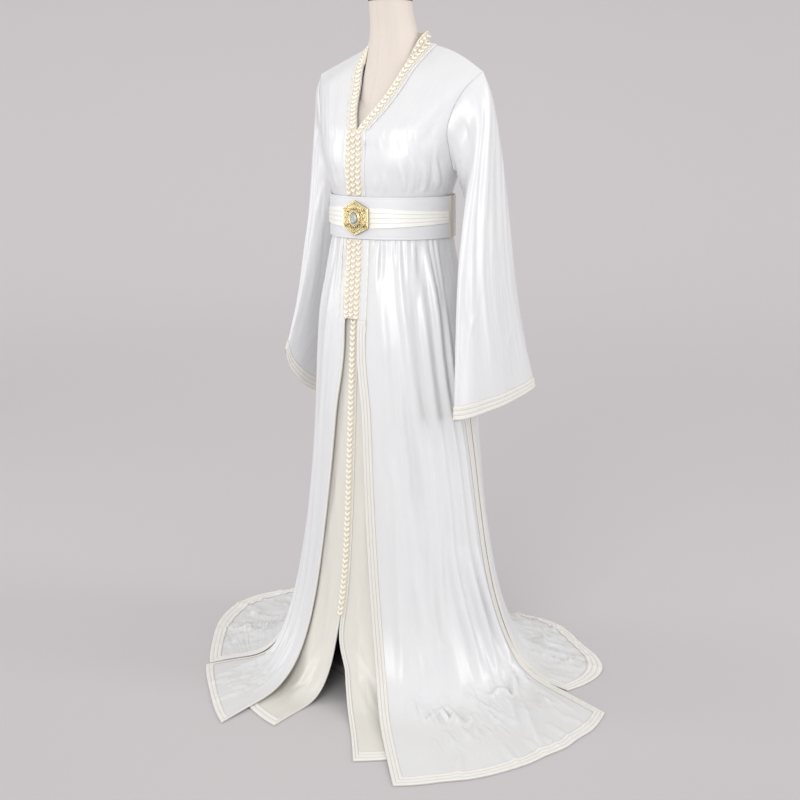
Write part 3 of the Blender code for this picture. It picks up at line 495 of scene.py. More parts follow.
def lump(length: float, width: float, height: float, around: int = 12, along: int = 8,
         twist: float = 0.0) -> Patch:
    """Make a rounded lump of cord that sits on z = 0.

    Args:
        length: Size in y.
        width: Size in x.
        height: Size in z.
        around: Faces around it.
        along: Faces from end to end.
        twist: Depth of the strands' grooves, as a share of the radius.

    Returns:
        The lump.
    """
    middle = 0.42 * height
    vertices, uv = [(0.0, -length / 2, middle)], [(0.0, 0.0)]
    for lean in math.pi * np.arange(1, along) / along:
        for turn in circle(around):
            groove = 1.0 - twist * (0.5 + 0.5 * math.cos(2 * turn + 5 * lean))
            radius = math.sin(lean) ** 0.75 * groove
            vertices.append((width / 2 * radius * math.cos(turn), -length / 2 * math.cos(lean),
                             middle + (height - middle) * radius * math.sin(turn)))
            uv.append((turn * width / 2, lean * length / math.pi))
    last = len(vertices)
    vertices.append((0.0, length / 2, middle))
    uv.append((0.0, length))
    faces = []
    for number in range(around):
        after = (number + 1) % around
        faces.append((0, 1 + after, 1 + number))
        for start in range(1, last - around, around):
            faces.append((start + number, start + after, start + around + after, start + around + number))
        faces.append((last - around + number, last - around + after, last))
    return Patch(np.array(vertices), faces, np.array(uv))


def tube(path: Array, normals: Array, radius: float, around: int = 8, closed: bool = False) -> Patch:
    """Make a round cord along a path.

    Args:
        path: Points of its centre line.
        normals: A direction out of the surface at each point.
        radius: Radius of the cord.
        around: Faces around it.
        closed: Whether the end joins the start.

    Returns:
        The cord.
    """
    ahead = np.roll(path, -1, axis=0) - np.roll(path, 1, axis=0) if closed else np.gradient(path, axis=0)
    ahead = unit(ahead)
    side = unit(np.cross(ahead, normals))
    out = np.cross(side, ahead)
    turns = circle(around)[:, None]
    rings = path[:, None] + radius * (np.cos(turns) * side[:, None] + np.sin(turns) * out[:, None])
    uv = np.stack(np.broadcast_arrays(turns.T * radius, travel(path)[:, None]), axis=2)
    return stacked(rings, uv, closed)


# ------------------------------------------------------------------------- finishes
def linear(code: str) -> tuple[float, float, float, float]:
    """sRGB hex colour as linear red, green, blue and alpha."""
    parts = [int(code[i:i + 2], 16) / 255 for i in (1, 3, 5)]
    return (*(p / 12.92 if p <= 0.04045 else ((p + 0.055) / 1.055) ** 2.4 for p in parts), 1.0)


def add_node(tree: bpy.types.NodeTree, kind: str, settings: dict | None = None,
             links: dict | None = None) -> bpy.types.Node:
    """Add a shader node.

    Args:
        tree: The material's node tree.
        kind: Blender's name of the node, without its "ShaderNode".
        settings: Values by socket or property name.
        links: Output sockets, or nodes for their first output, by the input that they feed.

    Returns:
        The node.
    """
    node = tree.nodes.new(f"ShaderNode{kind}")
    for name, value in (settings or {}).items():
        if isinstance(name, int) or name in node.inputs:
            node.inputs[name].default_value = value
        else:
            setattr(node, name, value)
    for name, source in (links or {}).items():
        tree.links.new(getattr(source, "outputs", [source])[0], node.inputs[name])
    return node


def new_material(name: str) -> tuple[Material, bpy.types.NodeTree]:
    """Start a material.

    Args:
        name: What the real surface is.

    Returns:
        The material and its empty node tree.
    """
    material = bpy.data.materials.new(name)
    material.use_nodes = True
    material.node_tree.nodes.clear()
    return material, material.node_tree


@dataclass(frozen=True)
class ClothFinish:
    """Woven cloth: threads with a fine bump, slack streaks along the warp and mottling.

    Attributes:
        name: What the cloth is.
        light: Colour of its lit threads.
        shade: Colour of its duller patches.
        roughness: Mean roughness.
        thread: Thread spacing in millimetres; drawn coarse enough to show.
        streak: Spacing of the slack streaks along the warp, in millimetres.
        streak_depth: Depth of the streaks' bump in millimetres.
        weave_depth: Depth of the threads' bump in millimetres.
        slack_depth: Depth of the broad unevenness of hanging cloth in millimetres.
        sheen: Sheen of loose fibres.
        specular: Specular level.
        coat: Weight of the glaze that floating threads give.
        lying: Colour where one layer lies on the floor and lets it show, or "" for no change.
    """

    name: str
    light: str
    shade: str
    roughness: float
    thread: float = 0.6
    streak: float = 14.0
    streak_depth: float = 0.25
    weave_depth: float = 0.04
    slack_depth: float = 0.0
    sheen: float = 0.05
    specular: float = 0.5
    coat: float = 0.0
    lying: str = ""

    def make(self) -> Material:
        """Build the material.

        Returns:
            The material.
        """
        material, tree = new_material(self.name)
        where = add_node(tree, "TexCoord").outputs
        uv, place = where["UV"], where["Object"]
        fine = (1000 / self.streak, 45 / self.streak, 1.0)
        along = add_node(tree, "Mapping", {"Scale": fine}, {"Vector": uv})
        streaks = add_node(tree, "TexNoise", {"Scale": 1.0, "Detail": 3.0, "Roughness": 0.55},
                           {"Vector": along})
        patches = add_node(tree, "TexNoise", {"Scale": 9.0, "Detail": 2.0}, {"Vector": place})
        hang = add_node(tree, "Mapping", {"Scale": (26.0, 7.0, 1.0)}, {"Vector": uv})
        drape = add_node(tree, "TexNoise", {"Scale": 1.0, "Detail": 2.0, "Roughness": 0.5}, {"Vector": hang})
        threads = {"Scale": 1000 / self.thread / 20, "Distortion": 0.4}
        weft = add_node(tree, "TexWave", threads | {"bands_direction": "Y"}, {"Vector": uv})
        warp = add_node(tree, "TexWave", threads, {"Vector": uv})
        weave = add_node(tree, "Math", {"operation": "MULTIPLY"},
                         {0: weft.outputs["Fac"], 1: warp.outputs["Fac"]})
        blend = add_node(tree, "Math", {"operation": "MULTIPLY_ADD", 1: 0.5, 2: 0.25}, {0: streaks})
        spread = add_node(tree, "Math", {"operation": "MULTIPLY_ADD", 1: 0.5}, {0: patches, 2: blend})
        colour = add_node(tree, "Mix", {"data_type": "RGBA", 6: linear(self.shade), 7: linear(self.light)},
                          {0: spread}).outputs[2]
        height = add_node(tree, "SeparateXYZ", links={0: place}).outputs[2]
        # Cloth that rests on the bust and shoulders is pulled smooth.
        loose = add_node(tree, "MapRange", {"From Min": 1.0, "From Max": 1.12, "To Min": 1.0, "To Max": 0.3},
                         {"Value": height})
        if self.lying:
            low = add_node(tree, "MapRange", {"From Min": 0.035, "From Max": 0.008}, {"Value": height})
            thin = add_node(tree, "MapRange", {"From Min": 0.30, "From Max": 0.62, "To Min": 0.25},
                            {"Value": patches})
            share = add_node(tree, "Math", {"operation": "MULTIPLY"}, {0: low, 1: thin})
            colour = add_node(tree, "Mix", {"data_type": "RGBA", 7: linear(self.lying)},
                              {0: share, 6: colour}).outputs[2]
        gloss = add_node(tree, "MapRange", {"To Min": self.roughness - 0.05, "To Max": self.roughness + 0.06},
                         {"Value": streaks})
        ripple = add_node(tree, "Bump", {"Strength": 1.0, "Distance": self.streak_depth * MM},
                          {"Height": streaks})
        slack = add_node(tree, "Bump", {"Distance": self.slack_depth * MM},
                         {"Height": drape, "Normal": ripple, "Strength": loose})
        fine = add_node(tree, "Bump", {"Strength": 1.0, "Distance": self.weave_depth * MM},
                        {"Height": weave, "Normal": slack})
        shader = add_node(tree, "BsdfPrincipled", {
            "Sheen Weight": self.sheen, "Sheen Roughness": 0.4, "Specular IOR Level": self.specular,
            "Coat Weight": self.coat, "Coat Roughness": 0.3, "IOR": 1.54,
        }, {"Base Color": colour, "Roughness": gloss, "Normal": fine})
        add_node(tree, "OutputMaterial", links={0: shader})
        return material


@dataclass(frozen=True)
class CordFinish:
    """Twisted or plaited silk cord: strands that show as slanting ridges.

    Attributes:
        name: What the cord is.
        light: Colour of the strands' tops.
        shade: Painted shade between the strands, where the colour darkens in their grooves.
        pitch: Spacing of the strands in millimetres.
        depth: Depth of the grooves between them in millimetres.
        roughness: Roughness of the silk.
        groove: Painted shade on the lines between laid cords, or "" for a single cord. Cords are
        counted by the first cloth coordinate.
    """

    name: str
    light: str
    shade: str
    pitch: float
    depth: float
    roughness: float = 0.55
    groove: str = ""

    def make(self) -> Material:
        """Build the material.

        Returns:
            The material.
        """
        material, tree = new_material(self.name)
        where = add_node(tree, "TexCoord")
        uv = where.outputs["UV"]
        strands = add_node(tree, "TexWave",
                           {"Scale": 1000 / self.pitch / 20, "Distortion": 1.2, "Detail": 1.0,
                            "bands_direction": "DIAGONAL"}, {"Vector": uv}).outputs["Fac"]
        patches = add_node(tree, "TexNoise", {"Scale": 60.0, "Detail": 2.0},
                           {"Vector": where.outputs["Object"]})
        part = add_node(tree, "Math", {"operation": "MULTIPLY", 1: 0.6}, {0: strands})
        spread = add_node(tree, "Math", {"operation": "MULTIPLY_ADD", 1: 0.55}, {0: patches, 2: part})
        # The strands' wave darkens the colour in their grooves: painted shade.
        colour = add_node(tree, "Mix", {"data_type": "RGBA", 6: linear(self.shade), 7: linear(self.light)},
                          {0: spread}).outputs[2]
        if self.groove:
            # Lines between laid cords take the groove colour: painted shade.
            cords = add_node(tree, "SeparateXYZ", links={0: uv})
            part = add_node(tree, "Math", {"operation": "PINGPONG", 1: 0.5}, {0: cords})
            depth = add_node(tree, "MapRange", {"From Min": 0.13, "From Max": 0.02}, {"Value": part})
            colour = add_node(tree, "Mix", {"data_type": "RGBA", 7: linear(self.groove)},
                              {0: depth, 6: colour}).outputs[2]
        bump = add_node(tree, "Bump", {"Strength": 1.0, "Distance": self.depth * MM}, {"Height": strands})
        shader = add_node(tree, "BsdfPrincipled",
                          {"Roughness": self.roughness, "Sheen Weight": 0.2, "IOR": 1.54},
                          {"Base Color": colour, "Normal": bump})
        add_node(tree, "OutputMaterial", links={0: shader})
        return material


@dataclass(frozen=True)
class HardFinish:
    """A hard surface with a fine uneven skin: metal, stone, wood or paint.

    Attributes:
        name: What the surface is.
        light: Its main colour.
        shade: Colour of its grain, veins or tarnish.
        roughness: Mean roughness.
        scale: Size of the unevenness in millimetres.
        depth: Depth of its bump in millimetres.
        stretch: How many times longer than wide the unevenness is, upright.
        metallic: 1 for metal.
        ior: Index of refraction; metals keep the usual one.
        coat: Weight of a clear coat.
    """

    name: str
    light: str
    shade: str
    roughness: float
    scale: float
    depth: float
    stretch: float = 1.0
    metallic: float = 0.0
    ior: float = 1.5
    coat: float = 0.0

    def make(self) -> Material:
        """Build the material.

        Returns:
            The material.
        """
        material, tree = new_material(self.name)
        size = 1000 / self.scale
        grain = add_node(tree, "Mapping", {"Scale": (size, size, size / self.stretch)},
                         {"Vector": add_node(tree, "TexCoord").outputs["Object"]})
        noise = add_node(tree, "TexNoise", {"Scale": 1.0, "Detail": 4.0}, {"Vector": grain})
        ramp = add_node(tree, "MapRange", {"From Min": 0.35, "From Max": 0.65}, {"Value": noise})
        colour = add_node(tree, "Mix", {"data_type": "RGBA", 6: linear(self.shade), 7: linear(self.light)},
                          {0: ramp}).outputs[2]
        gloss = add_node(tree, "MapRange", {"To Min": self.roughness + 0.08, "To Max": self.roughness - 0.04},
                         {"Value": ramp})
        bump = add_node(tree, "Bump", {"Strength": 1.0, "Distance": self.depth * MM}, {"Height": noise})
        shader = add_node(tree, "BsdfPrincipled",
                          {"Metallic": self.metallic, "IOR": self.ior, "Coat Weight": self.coat},
                          {"Base Color": colour, "Roughness": gloss, "Normal": bump})
        add_node(tree, "OutputMaterial", links={0: shader})
        return material


# Satin floats its warp threads, so it shines in broad soft bands across the folds.
SATIN = ClothFinish("white polyester satin", "#DFDFE0", "#D3D3D6", 0.33, streak=7.0, streak_depth=0.46,
                    slack_depth=3.2, coat=0.4, lying="#D8D7D5")
# The same satin, dyed a warmer white.
UNDER_SATIN = ClothFinish("off-white underskirt satin", "#DDDAD2", "#D1CDC4", 0.33, streak=7.0,
                          streak_depth=0.46, slack_depth=4.0, coat=0.5)
# Fused to a stiff lining, so it lies flat with a duller gloss.
BELT_SATIN = ClothFinish("fused belt satin", "#DCDDDF", "#D6D7DA", 0.45, streak=30.0, streak_depth=0.05)
# The same satin in soft pleats, unlined and brighter.
WRAP_SATIN = ClothFinish("pleated belt satin", "#EDEDE8", "#E5E2DA", 0.36, streak=30.0, streak_depth=0.08,
                         coat=0.25)
# Satin-stitched border, a little warmer than the cloth that it lies on, with painted shade between its
# strands and on the lines between its cords.
EDGE_BRAID = CordFinish("woven silk edge braid", "#F0EEEA", "#E6E2DA", 4.0, 0.12, groove="#D2CCC0")
# Rayon cord knotted by hand: pearly tops, with painted shade in the warm gaps between the strands.
KNOT_CORD = CordFinish("knotted rayon cord", "#F5F1E6", "#E0D6C0", 1.6, 0.25, roughness=0.38)
# Matt tape under the knotted braids; its tan is painted shade in the gaps between the knots.
BRAID_SHADE_TAPE = ClothFinish("braid tape with painted shade", "#DFD7C7", "#D2C7B2", 0.6, streak=4.0, weave_depth=0.10)
# Plain weave in a flat beige, so it reads as a seam between the belt's two lengths.
BELT_TAPE = ClothFinish("beige woven belt tape", "#D9CBBD", "#CBBBAB", 0.6, streak=4.0, weave_depth=0.10)
# Plain-woven linen stretched over padding: matt, with slubs in its threads.
FORM_LINEN = ClothFinish("natural linen cover", "#DCD2C9", "#CFC3B8", 0.85, thread=0.9, streak=5.0,
                         streak_depth=0.10, weave_depth=0.10, sheen=0.15, specular=0.3)
# Thin gold plate over brass, pale on the raised wires and grains as a painted highlight.
GILT = HardFinish("gilt cast brass", "#FFF9E0", "#F2DC9E", 0.27, 2.0, 0.06, metallic=1.0)
# The same brass, darkened in the ground between the wires with tarnish and painted shade.
GILT_GROUND = HardFinish("tarnished gilt brass", "#CDB478", "#755B2A", 0.36, 1.2, 0.12, metallic=1.0)
# Cut and polished glass: a clear skin with sharp reflections over its milky body.
PALE_STONE = HardFinish("pale faceted glass stone", "#C9CCC6", "#8F9791", 0.06, 5.0, 0.02, ior=1.52, coat=0.5)
# The same glass in smoky grey, so small that it reads as a dark glint.
SMALL_STONE = HardFinish("smoky glass stone", "#5E6B66", "#2E3733", 0.08, 1.5, 0.01, ior=1.52, coat=0.5)
# Close-grained wood, turned, stained dark and waxed, so its grain barely shows.
DARK_WOOD = HardFinish("stained beech", "#4A2A1C", "#2A150D", 0.38, 3.0, 0.08, stretch=9.0, coat=0.3)
# Baked powder, which leaves a fine even orange-peel skin.
BASE_PAINT = HardFinish("grey powder coat", "#9E9B99", "#8F8C8A", 0.5, 0.9, 0.03)


# ------------------------------------------------------------------ the kaftan's form
CLOTH = 0.8 * MM                        # thickness of the walls
SEAM_GAP = 0.5 * MM                     # between pieces at a seam
LAY_GAP = 0.4 * MM                      # under a piece that lies on another
EDGE_WIDTH = 21 * MM                    # ribbons
UNDER_EDGE_WIDTH = 17 * MM
HEM_WIDTH = 27 * MM
NECK_STRIP = 28 * MM                    # braid beside the neck
LAYER_DEPTH = 8.5 * MM                  # from the kaftan in to the underskirt
OVER_HEIGHT = 6 * MM                    # the kaftan over the underskirt on the floor
FLOOR_HEIGHT = 1.5 * MM                 # lowest face of the cloth
KNOT_PITCH = 11.2 * MM
UNDERARM_Z = 1.085
NECK_V_Z = 1.161
NECK_POINT = (0.065, 1.331)             # x and z of the shoulder seam's inner end
SHOULDER_TIP = (0.204, 1.274)           # x and z of its outer end
SHOULDER_RISE = {1: 0.010, -1: 0.001}   # its arch on the left and the right
NECK_BACK_Z = 1.333
CREST_DROP = 0.075                      # depth of the roll over the shoulder
BRAID_END_Z = 0.785
KNOTS_END_Z = 0.165
KNOTS_END_X = 0.009
NECK_SHARE = 0.40                       # of the armhole's height where the neck's V ends
ARMHOLE_ANGLES = (90.0, 76.0, 68.0, 66.0, 69.1)
OPENING_PLACE = 2.25
OPENING_SPREAD = {1: 13 * MM, -1: -19 * MM}
SPREAD_PLACE = OPENING_PLACE - 0.17
SLIT_PLACE = 3.0
UNDER_SLIT_PLACE = 6.15
HEM_PLACE = 10.0
SEAM_ANGLE = 0.13                       # half the gap between panels, in degrees
GATHER_HEIGHT = 1.4 * MM
CREASE_FADE = 14 * MM                   # from a seam to where creases show in full
BELT_LOW_Z = 0.947
BELT_HIGH_Z = 1.031
WAIST_Z = 0.989
BODY_SHARES = (1.0, 0.85, 0.70, 0.55, NECK_SHARE, 0.2, 0.0)
# Height, half width, front depth, back depth and middle of the upper part.
BODY_SECTIONS = np.array((
    (0.989, 0.126, 0.116, 0.110, 0.000), (1.031, 0.129, 0.117, 0.110, 0.000),
    (1.090, 0.149, 0.124, 0.112, 0.000), (1.161, 0.167, 0.121, 0.118, 0.002),
    (1.200, 0.181, 0.100, 0.112, 0.008), (1.240, 0.198, 0.076, 0.100, 0.015),
    (1.274, 0.218, 0.060, 0.085, 0.019), (1.305, 0.220, 0.045, 0.072, 0.022),
    (1.340, 0.222, 0.032, 0.066, 0.024)))
# Height, left and right half width, front and back depth of the hanging skirt: belt,
# gather, hip, thigh, knee, calf, ankle and the bend above the floor.
SKIRT_SECTIONS = (
    (0.989, 0.126, 0.126, 0.116, 0.110), (0.915, 0.133, 0.132, 0.119, 0.115),
    (0.820, 0.165, 0.157, 0.140, 0.140), (0.670, 0.179, 0.163, 0.149, 0.152),
    (0.503, 0.189, 0.168, 0.158, 0.164), (0.335, 0.208, 0.186, 0.175, 0.178),
    (0.177, 0.234, 0.206, 0.200, 0.205), (0.056, 0.270, 0.242, 0.247, 0.262))


class Edge(Enum):
    """Edges of the skirt: degrees from the front at each guide, belt to hem."""

    LEFT_OPENING = (0, 0, 0, 8, 11, 15, 20, 26, 31, 34, 36)
    LEFT_SLIT = (90, 90, 90, 90, 102, 103, 105, 110, 107, 98, 93)
    RIGHT_OPENING = (0, 0, 0, -11, -15, -18, -19, -18, -15, -12.5, -10.5)
    RIGHT_SLIT = (-90, -90, -90, -90, -84, -74, -64, -56, -52, -50, -47.5)
    BACK_LEFT = (90, 90, 90, 90, 103, 104.2, 106.2, 111.2, 108.2, 101.5, 100)
    BACK_RIGHT = (270, 270, 270, 270, 275.2, 285.2, 295.2, 303.2, 307.2, 309.2, 311.7)
    UNDER_LEFT = (0, 0, 0, 0, 0, 0, 2.5, 10, 18, 24, 27)
    UNDER_RIGHT = (0, 0, 0, 0, 0, 0, 2.5, 3, 1.5, 0.5, 1)
    SEAM_LEFT = (90,) * 11
    SEAM_RIGHT = (-90,) * 11
    SEAM_FAR = (270,) * 11


def body_section(z: Array) -> Array:
    """Half width, front depth, back depth and middle at some heights, in the first axis."""
    return np.moveaxis(between(z, BODY_SECTIONS[:, 0], BODY_SECTIONS[:, 1:]), -1, 0)


def shoulder_height(x: Array) -> Array:
    """Work out the height of the shoulder seam.

    Args:
        x: Distances to the wearer's left.

    Returns:
        The heights.
    """
    along = (np.abs(x) - NECK_POINT[0]) / (SHOULDER_TIP[0] - NECK_POINT[0])
    rise = np.where(x > 0, SHOULDER_RISE[1], SHOULDER_RISE[-1])
    return mix(NECK_POINT[1], SHOULDER_TIP[1], along) + rise * np.sin(math.pi * np.clip(along, 0.0, 1.0))


def body_points(x: Number, z: Number, facing: int) -> Array:
    """Work out points of the upper part.

    Args:
        x: Distances to the wearer's left.
        z: Heights.
        facing: -1 for the front and 1 for the back.

    Returns:
        The points.
    """
    x, z = np.broadcast_arrays(np.asarray(x, float), np.asarray(z, float))
    width, front, back, middle = body_section(z)
    roundness = np.sqrt(np.clip(1.0 - np.minimum(1.0, np.abs(x) / width) ** 2, 0.0, 1.0))
    below = np.clip((shoulder_height(x) - z) / CREST_DROP - 0.004, 0.0, 1.0)
    crest = np.sqrt(np.clip(1.0 - (1.0 - below) ** 2, 0.0, 1.0))
    depth = (front if facing < 0 else back) * roundness * crest
    return np.stack([x, middle + facing * (depth + SEAM_GAP / 2), z], axis=-1)


def armhole(share: float) -> tuple[float, float, float]:
    """Find a point of the armhole.

    Args:
        share: Share of its height.

    Returns:
        The point's angle, half width and height.
    """
    angle = math.radians(np.interp(share, np.linspace(0.0, 1.0, len(ARMHOLE_ANGLES)), ARMHOLE_ANGLES))
    z = mix(UNDERARM_Z, SHOULDER_TIP[1], share)
    return angle, float(body_section(z)[0]) * math.sin(angle), z


def front_row(share: float, runs: Array, side: int) -> Array:
    """Work out points across a front, from the neck to the armhole.

    Args:
        share: Share of the armhole's height.
        runs: Runs of the points.
        side: 1 for the left front and -1 for the right.

    Returns:
        The points.
    """
    if share <= NECK_SHARE:
        neck_x, neck_z = SEAM_GAP / 2, mix(UNDERARM_Z, NECK_V_Z, share / NECK_SHARE)
    else:
        climb = (share - NECK_SHARE) / (1.0 - NECK_SHARE)
        neck_x = max(SEAM_GAP / 2, NECK_POINT[0] * climb**0.75)
        neck_z = mix(NECK_V_Z, NECK_POINT[1], climb)
    angle, arm_x, arm_z = armhole(share)
    radius = arm_x / math.sin(angle)
    x = radius * np.sin(mix(math.asin(neck_x / radius), angle, runs))
    part = (x - neck_x) / (arm_x - neck_x)
    z = mix(neck_z, arm_z, part) + SHOULDER_RISE[side] * np.sin(math.pi * part) * share**4
    return body_points(side * x, z, -1)


def back_row(share: float, runs: Array) -> Array:
    """Work out points across the back, from the left armhole to the right.

    Args:
        share: Share of the armhole's height.
        runs: Runs of the points.

    Returns:
        The points.
    """
    angle, arm_x, _ = armhole(share)
    x = arm_x * np.sin(mix(math.pi - angle, math.pi + angle, runs)) / math.sin(angle)
    top = np.minimum(shoulder_height(x * SHOULDER_TIP[0] / arm_x), NECK_BACK_Z)
    return body_points(x, mix(UNDERARM_Z, top, share), 1)


@dataclass(frozen=True)
class Fold:
    """A long fold of a skirt panel, which moves and widens on its way down."""

    top: float           # run where it starts
    foot: float          # run where it ends
    top_width: float     # width at the belt as a share of the panel
    foot_width: float    # width at the hem
    height: float        # in millimetres
    start: float         # place where it starts
    end: float           # place where it ends

    def heights(self, runs: Array, places: Array) -> Array:
        """Work out the fold's height.

        Args:
            runs: Rows by columns of runs.
            places: Rows by columns of places.

        Returns:
            Rows by columns of heights in metres.
        """
        down = places / HEM_PLACE
        half = mix(self.top_width, self.foot_width, down) / 2
        away = np.abs(runs - mix(self.top, self.foot, down)) / half
        rise = smooth_step((places - self.start) / 1.5) * smooth_step((self.end - places) / 2.0)
        return self.height * MM * rise * 0.5 * (1 + np.cos(math.pi * np.minimum(away, 1.0)))


RIBBON_STEPS = 12          # columns of a ribbon from edge to edge
UPPER_STATIONS = np.array([-1.0 - share for share in BODY_SHARES] + [-0.5, 0.0, 0.6])


@dataclass
class SkirtPanel:
    """A panel of the kaftan or its underskirt, with the ribbons on its edges.

    Attributes:
        name: Node that it stands for.
        edges: Its first and last edge.
        outer: Whether it belongs to the kaftan and not the underskirt.
        columns: Columns between its edge strips.
        waves: Gathers under the belt.
        touch: Distance from the pole where it meets the floor, at equal steps across.
        hem: The same for its hem.
        folds: Its long folds.
        creases: Its finer ridges and troughs.
        cut: Width and length of the flat piece in metres; not used.
        cut_area: Area of the flat piece in square metres; not used.
        ribbon: Node of the ribbon on its edges, or "" for none.
        ribbon_from: Places where the ribbon starts on the first and last edge.
        cords: Cords of the ribbon on its first edge, its last edge and its hem.
    """

    name: str
    edges: tuple[Edge, Edge]
    outer: bool
    columns: int
    waves: int
    touch: tuple[float, ...]
    hem: tuple[float, ...]
    folds: tuple[Fold, ...]
    creases: tuple[Crease, ...]
    cut: tuple[float, float]
    cut_area: float
    ribbon: str = ""
    ribbon_from: tuple[float, float] = (99.0, 99.0)
    cords: tuple[int, int, int] = (3, 3, 3)

    @property
    def side(self) -> int:
        """1 on the wearer's left and -1 on the right."""
        return -1 if self.name.endswith("right") else 1

    @property
    def strip(self) -> float:
        """Width of the ribbon along an edge."""
        return EDGE_WIDTH if self.outer else UNDER_EDGE_WIDTH

    @property
    def is_front(self) -> bool:
        """Whether it is a front."""
        return "front" in self.name

    def angles(self, runs: Array) -> Array:
        """Work out the angles of the guides.

        Args:
            runs: Runs of the guides.

        Returns:
            Places by runs of angles in radians.
        """
        first, last = (np.array(edge.value, float) for edge in self.edges)
        turn = math.copysign(SEAM_ANGLE, last[0] - first[0])
        return np.radians(mix((first + turn)[:, None], (last - turn)[:, None], runs[None, :]))

    def guides(self, runs: Array) -> Array:
        """Work out the guide points, belt to hem.

        Args:
            runs: Runs of the guides.

        Returns:
            Places by runs of points.
        """
        depth, over = (0.0, OVER_HEIGHT) if self.outer else (LAYER_DEPTH, FLOOR_HEIGHT)
        touch, hem = across(self.touch, runs), across(self.hem, runs)
        ovals = [(z, np.where(np.sin(angle) > 0, left, right) - depth,
                  np.where(np.cos(angle) > 0, front, back) - depth)
                 for (z, left, right, front, back), angle in zip(SKIRT_SECTIONS, self.angles(runs))]
        middle = (touch + hem) / 2
        ovals += [(over, touch, touch), (over, middle, middle), (FLOOR_HEIGHT, hem, hem)]
        return np.array([
            np.stack([width * np.sin(angle), -reach * np.cos(angle), np.full_like(angle, z)], axis=1)
            for (z, width, reach), angle in zip(ovals, self.angles(runs))])

    def spread(self, line_at: Callable[[Array], Array], first: float, last: float) -> Array:
        """Work out points across the panel: fine edge strips with even columns between them.

        Args:
            line_at: Gives points at runs.
            first: Width of the first strip.
            last: Width of the last strip.

        Returns:
            The row of points.
        """
        runs = np.linspace(0.0, 1.0, 121)
        along = travel(line_at(runs))
        stops = np.concatenate([np.linspace(0.0, first, RIBBON_STEPS + 1)[:-1],
                                np.linspace(first, along[-1] - last, self.columns),
                                np.linspace(along[-1] - last, along[-1], RIBBON_STEPS + 1)[1:]])
        return line_at(np.interp(stops, along, runs))

    def upper_row(self, place: float) -> Array:
        """Work out points across the upper part.

        Args:
            place: One of its stations.

        Returns:
            The row of points.
        """
        share, neck = -1.0 - place, self.strip
        if place > -1.0:
            z = {-0.5: BELT_HIGH_Z, 0.0: WAIST_Z}[place]
            width = float(body_section(z)[0])
            facing = -1 if self.is_front else 1

            def line_at(runs: Array) -> Array:
                """Points round the waist."""
                return body_points(width * np.sin(self.angles(runs)[0]), z, facing)
        elif self.is_front:
            neck = NECK_STRIP if share >= NECK_SHARE else EDGE_WIDTH

            def line_at(runs: Array) -> Array:
                """Points across a front."""
                return front_row(share, runs, self.side)
        else:
            def line_at(runs: Array) -> Array:
                """Points across the back."""
                return back_row(share, runs)
        return self.spread(line_at, neck, self.strip)

    def skirt_row(self, place: float) -> Array:
        """Points across the skirt at a place."""
        return self.spread(lambda runs: guide_curve(self.guides(runs), place), self.strip, self.strip)

    def lay_out(self) -> ClothGrid:
        """Work out the panel's outer face with its folds and creases.

        Returns:
            The face.
        """
        flat_length = 0.5 * (np.mean(self.hem) - np.mean(self.touch))
        turn = HEM_PLACE - HEM_WIDTH / flat_length
        rows = 1.0 if self.outer else 0.55
        places = np.concatenate([np.linspace(0.0, 6.0, int(96 * rows))[:-1],
                                 np.linspace(6.0, turn, int(104 * rows))[:-1],
                                 np.linspace(turn, HEM_PLACE, RIBBON_STEPS + 1)])
        points = np.array([self.skirt_row(place) for place in places])
        if self.outer:
            upper = np.array([self.upper_row(place) for place in UPPER_STATIONS[:-1]] + [self.skirt_row(0.6)])
            above = np.linspace(-2.0, 0.0, 54)[:-1]
            points = np.concatenate([through(UPPER_STATIONS, upper, above), points])
            places = np.concatenate([above, places])
        self.close_front(places, points)
        runs = np.pad(np.linspace(0.0, 1.0, self.columns), RIBBON_STEPS, "edge")
        grid = ClothGrid(points, -1.0 if self.name.endswith("front_right") else 1.0, False, places, runs)
        run, place = np.meshgrid(runs, places)
        heights = sum((fold.heights(run, place) for fold in self.folds), np.zeros(run.shape))
        heights = heights + GATHER_HEIGHT * smooth_step((place - 0.3) / 0.5) * self.gathers(run, place)
        grid.raise_by(np.where(place > 0, heights, 0.0))
        grid.raise_by(sum(crease.heights(grid) for crease in self.creases) * self.seam_fade(grid))
        grid.points[..., 2] = np.maximum(grid.points[..., 2], FLOOR_HEIGHT)
        self.square_seams(grid)
        return grid

    def seam_fade(self, grid: ClothGrid) -> Array:
        """Work out how much creases show: nothing on a seam, and all of them a little way in.

        Args:
            grid: The panel's face.

        Returns:
            Rows by columns of shares.
        """
        along = travel(grid.points, 1)
        sewn_to = SLIT_PLACE if self.outer else 2 * HEM_PLACE
        closed_to = OPENING_PLACE if self.outer else UNDER_SLIT_PLACE
        fade = np.ones(along.shape)
        if self.outer:
            fade = fade * smooth_step((grid.places + 2.0) / 0.12)[:, None]
        first = closed_to if self.is_front else sewn_to
        for away, limit in ((along, first), (along[:, -1:] - along, sewn_to)):
            sewn = smooth_step((limit - grid.places) / 0.5)[:, None]
            fade = fade * (1.0 - sewn * (1.0 - smooth_step(away / CREASE_FADE)))
        return fade

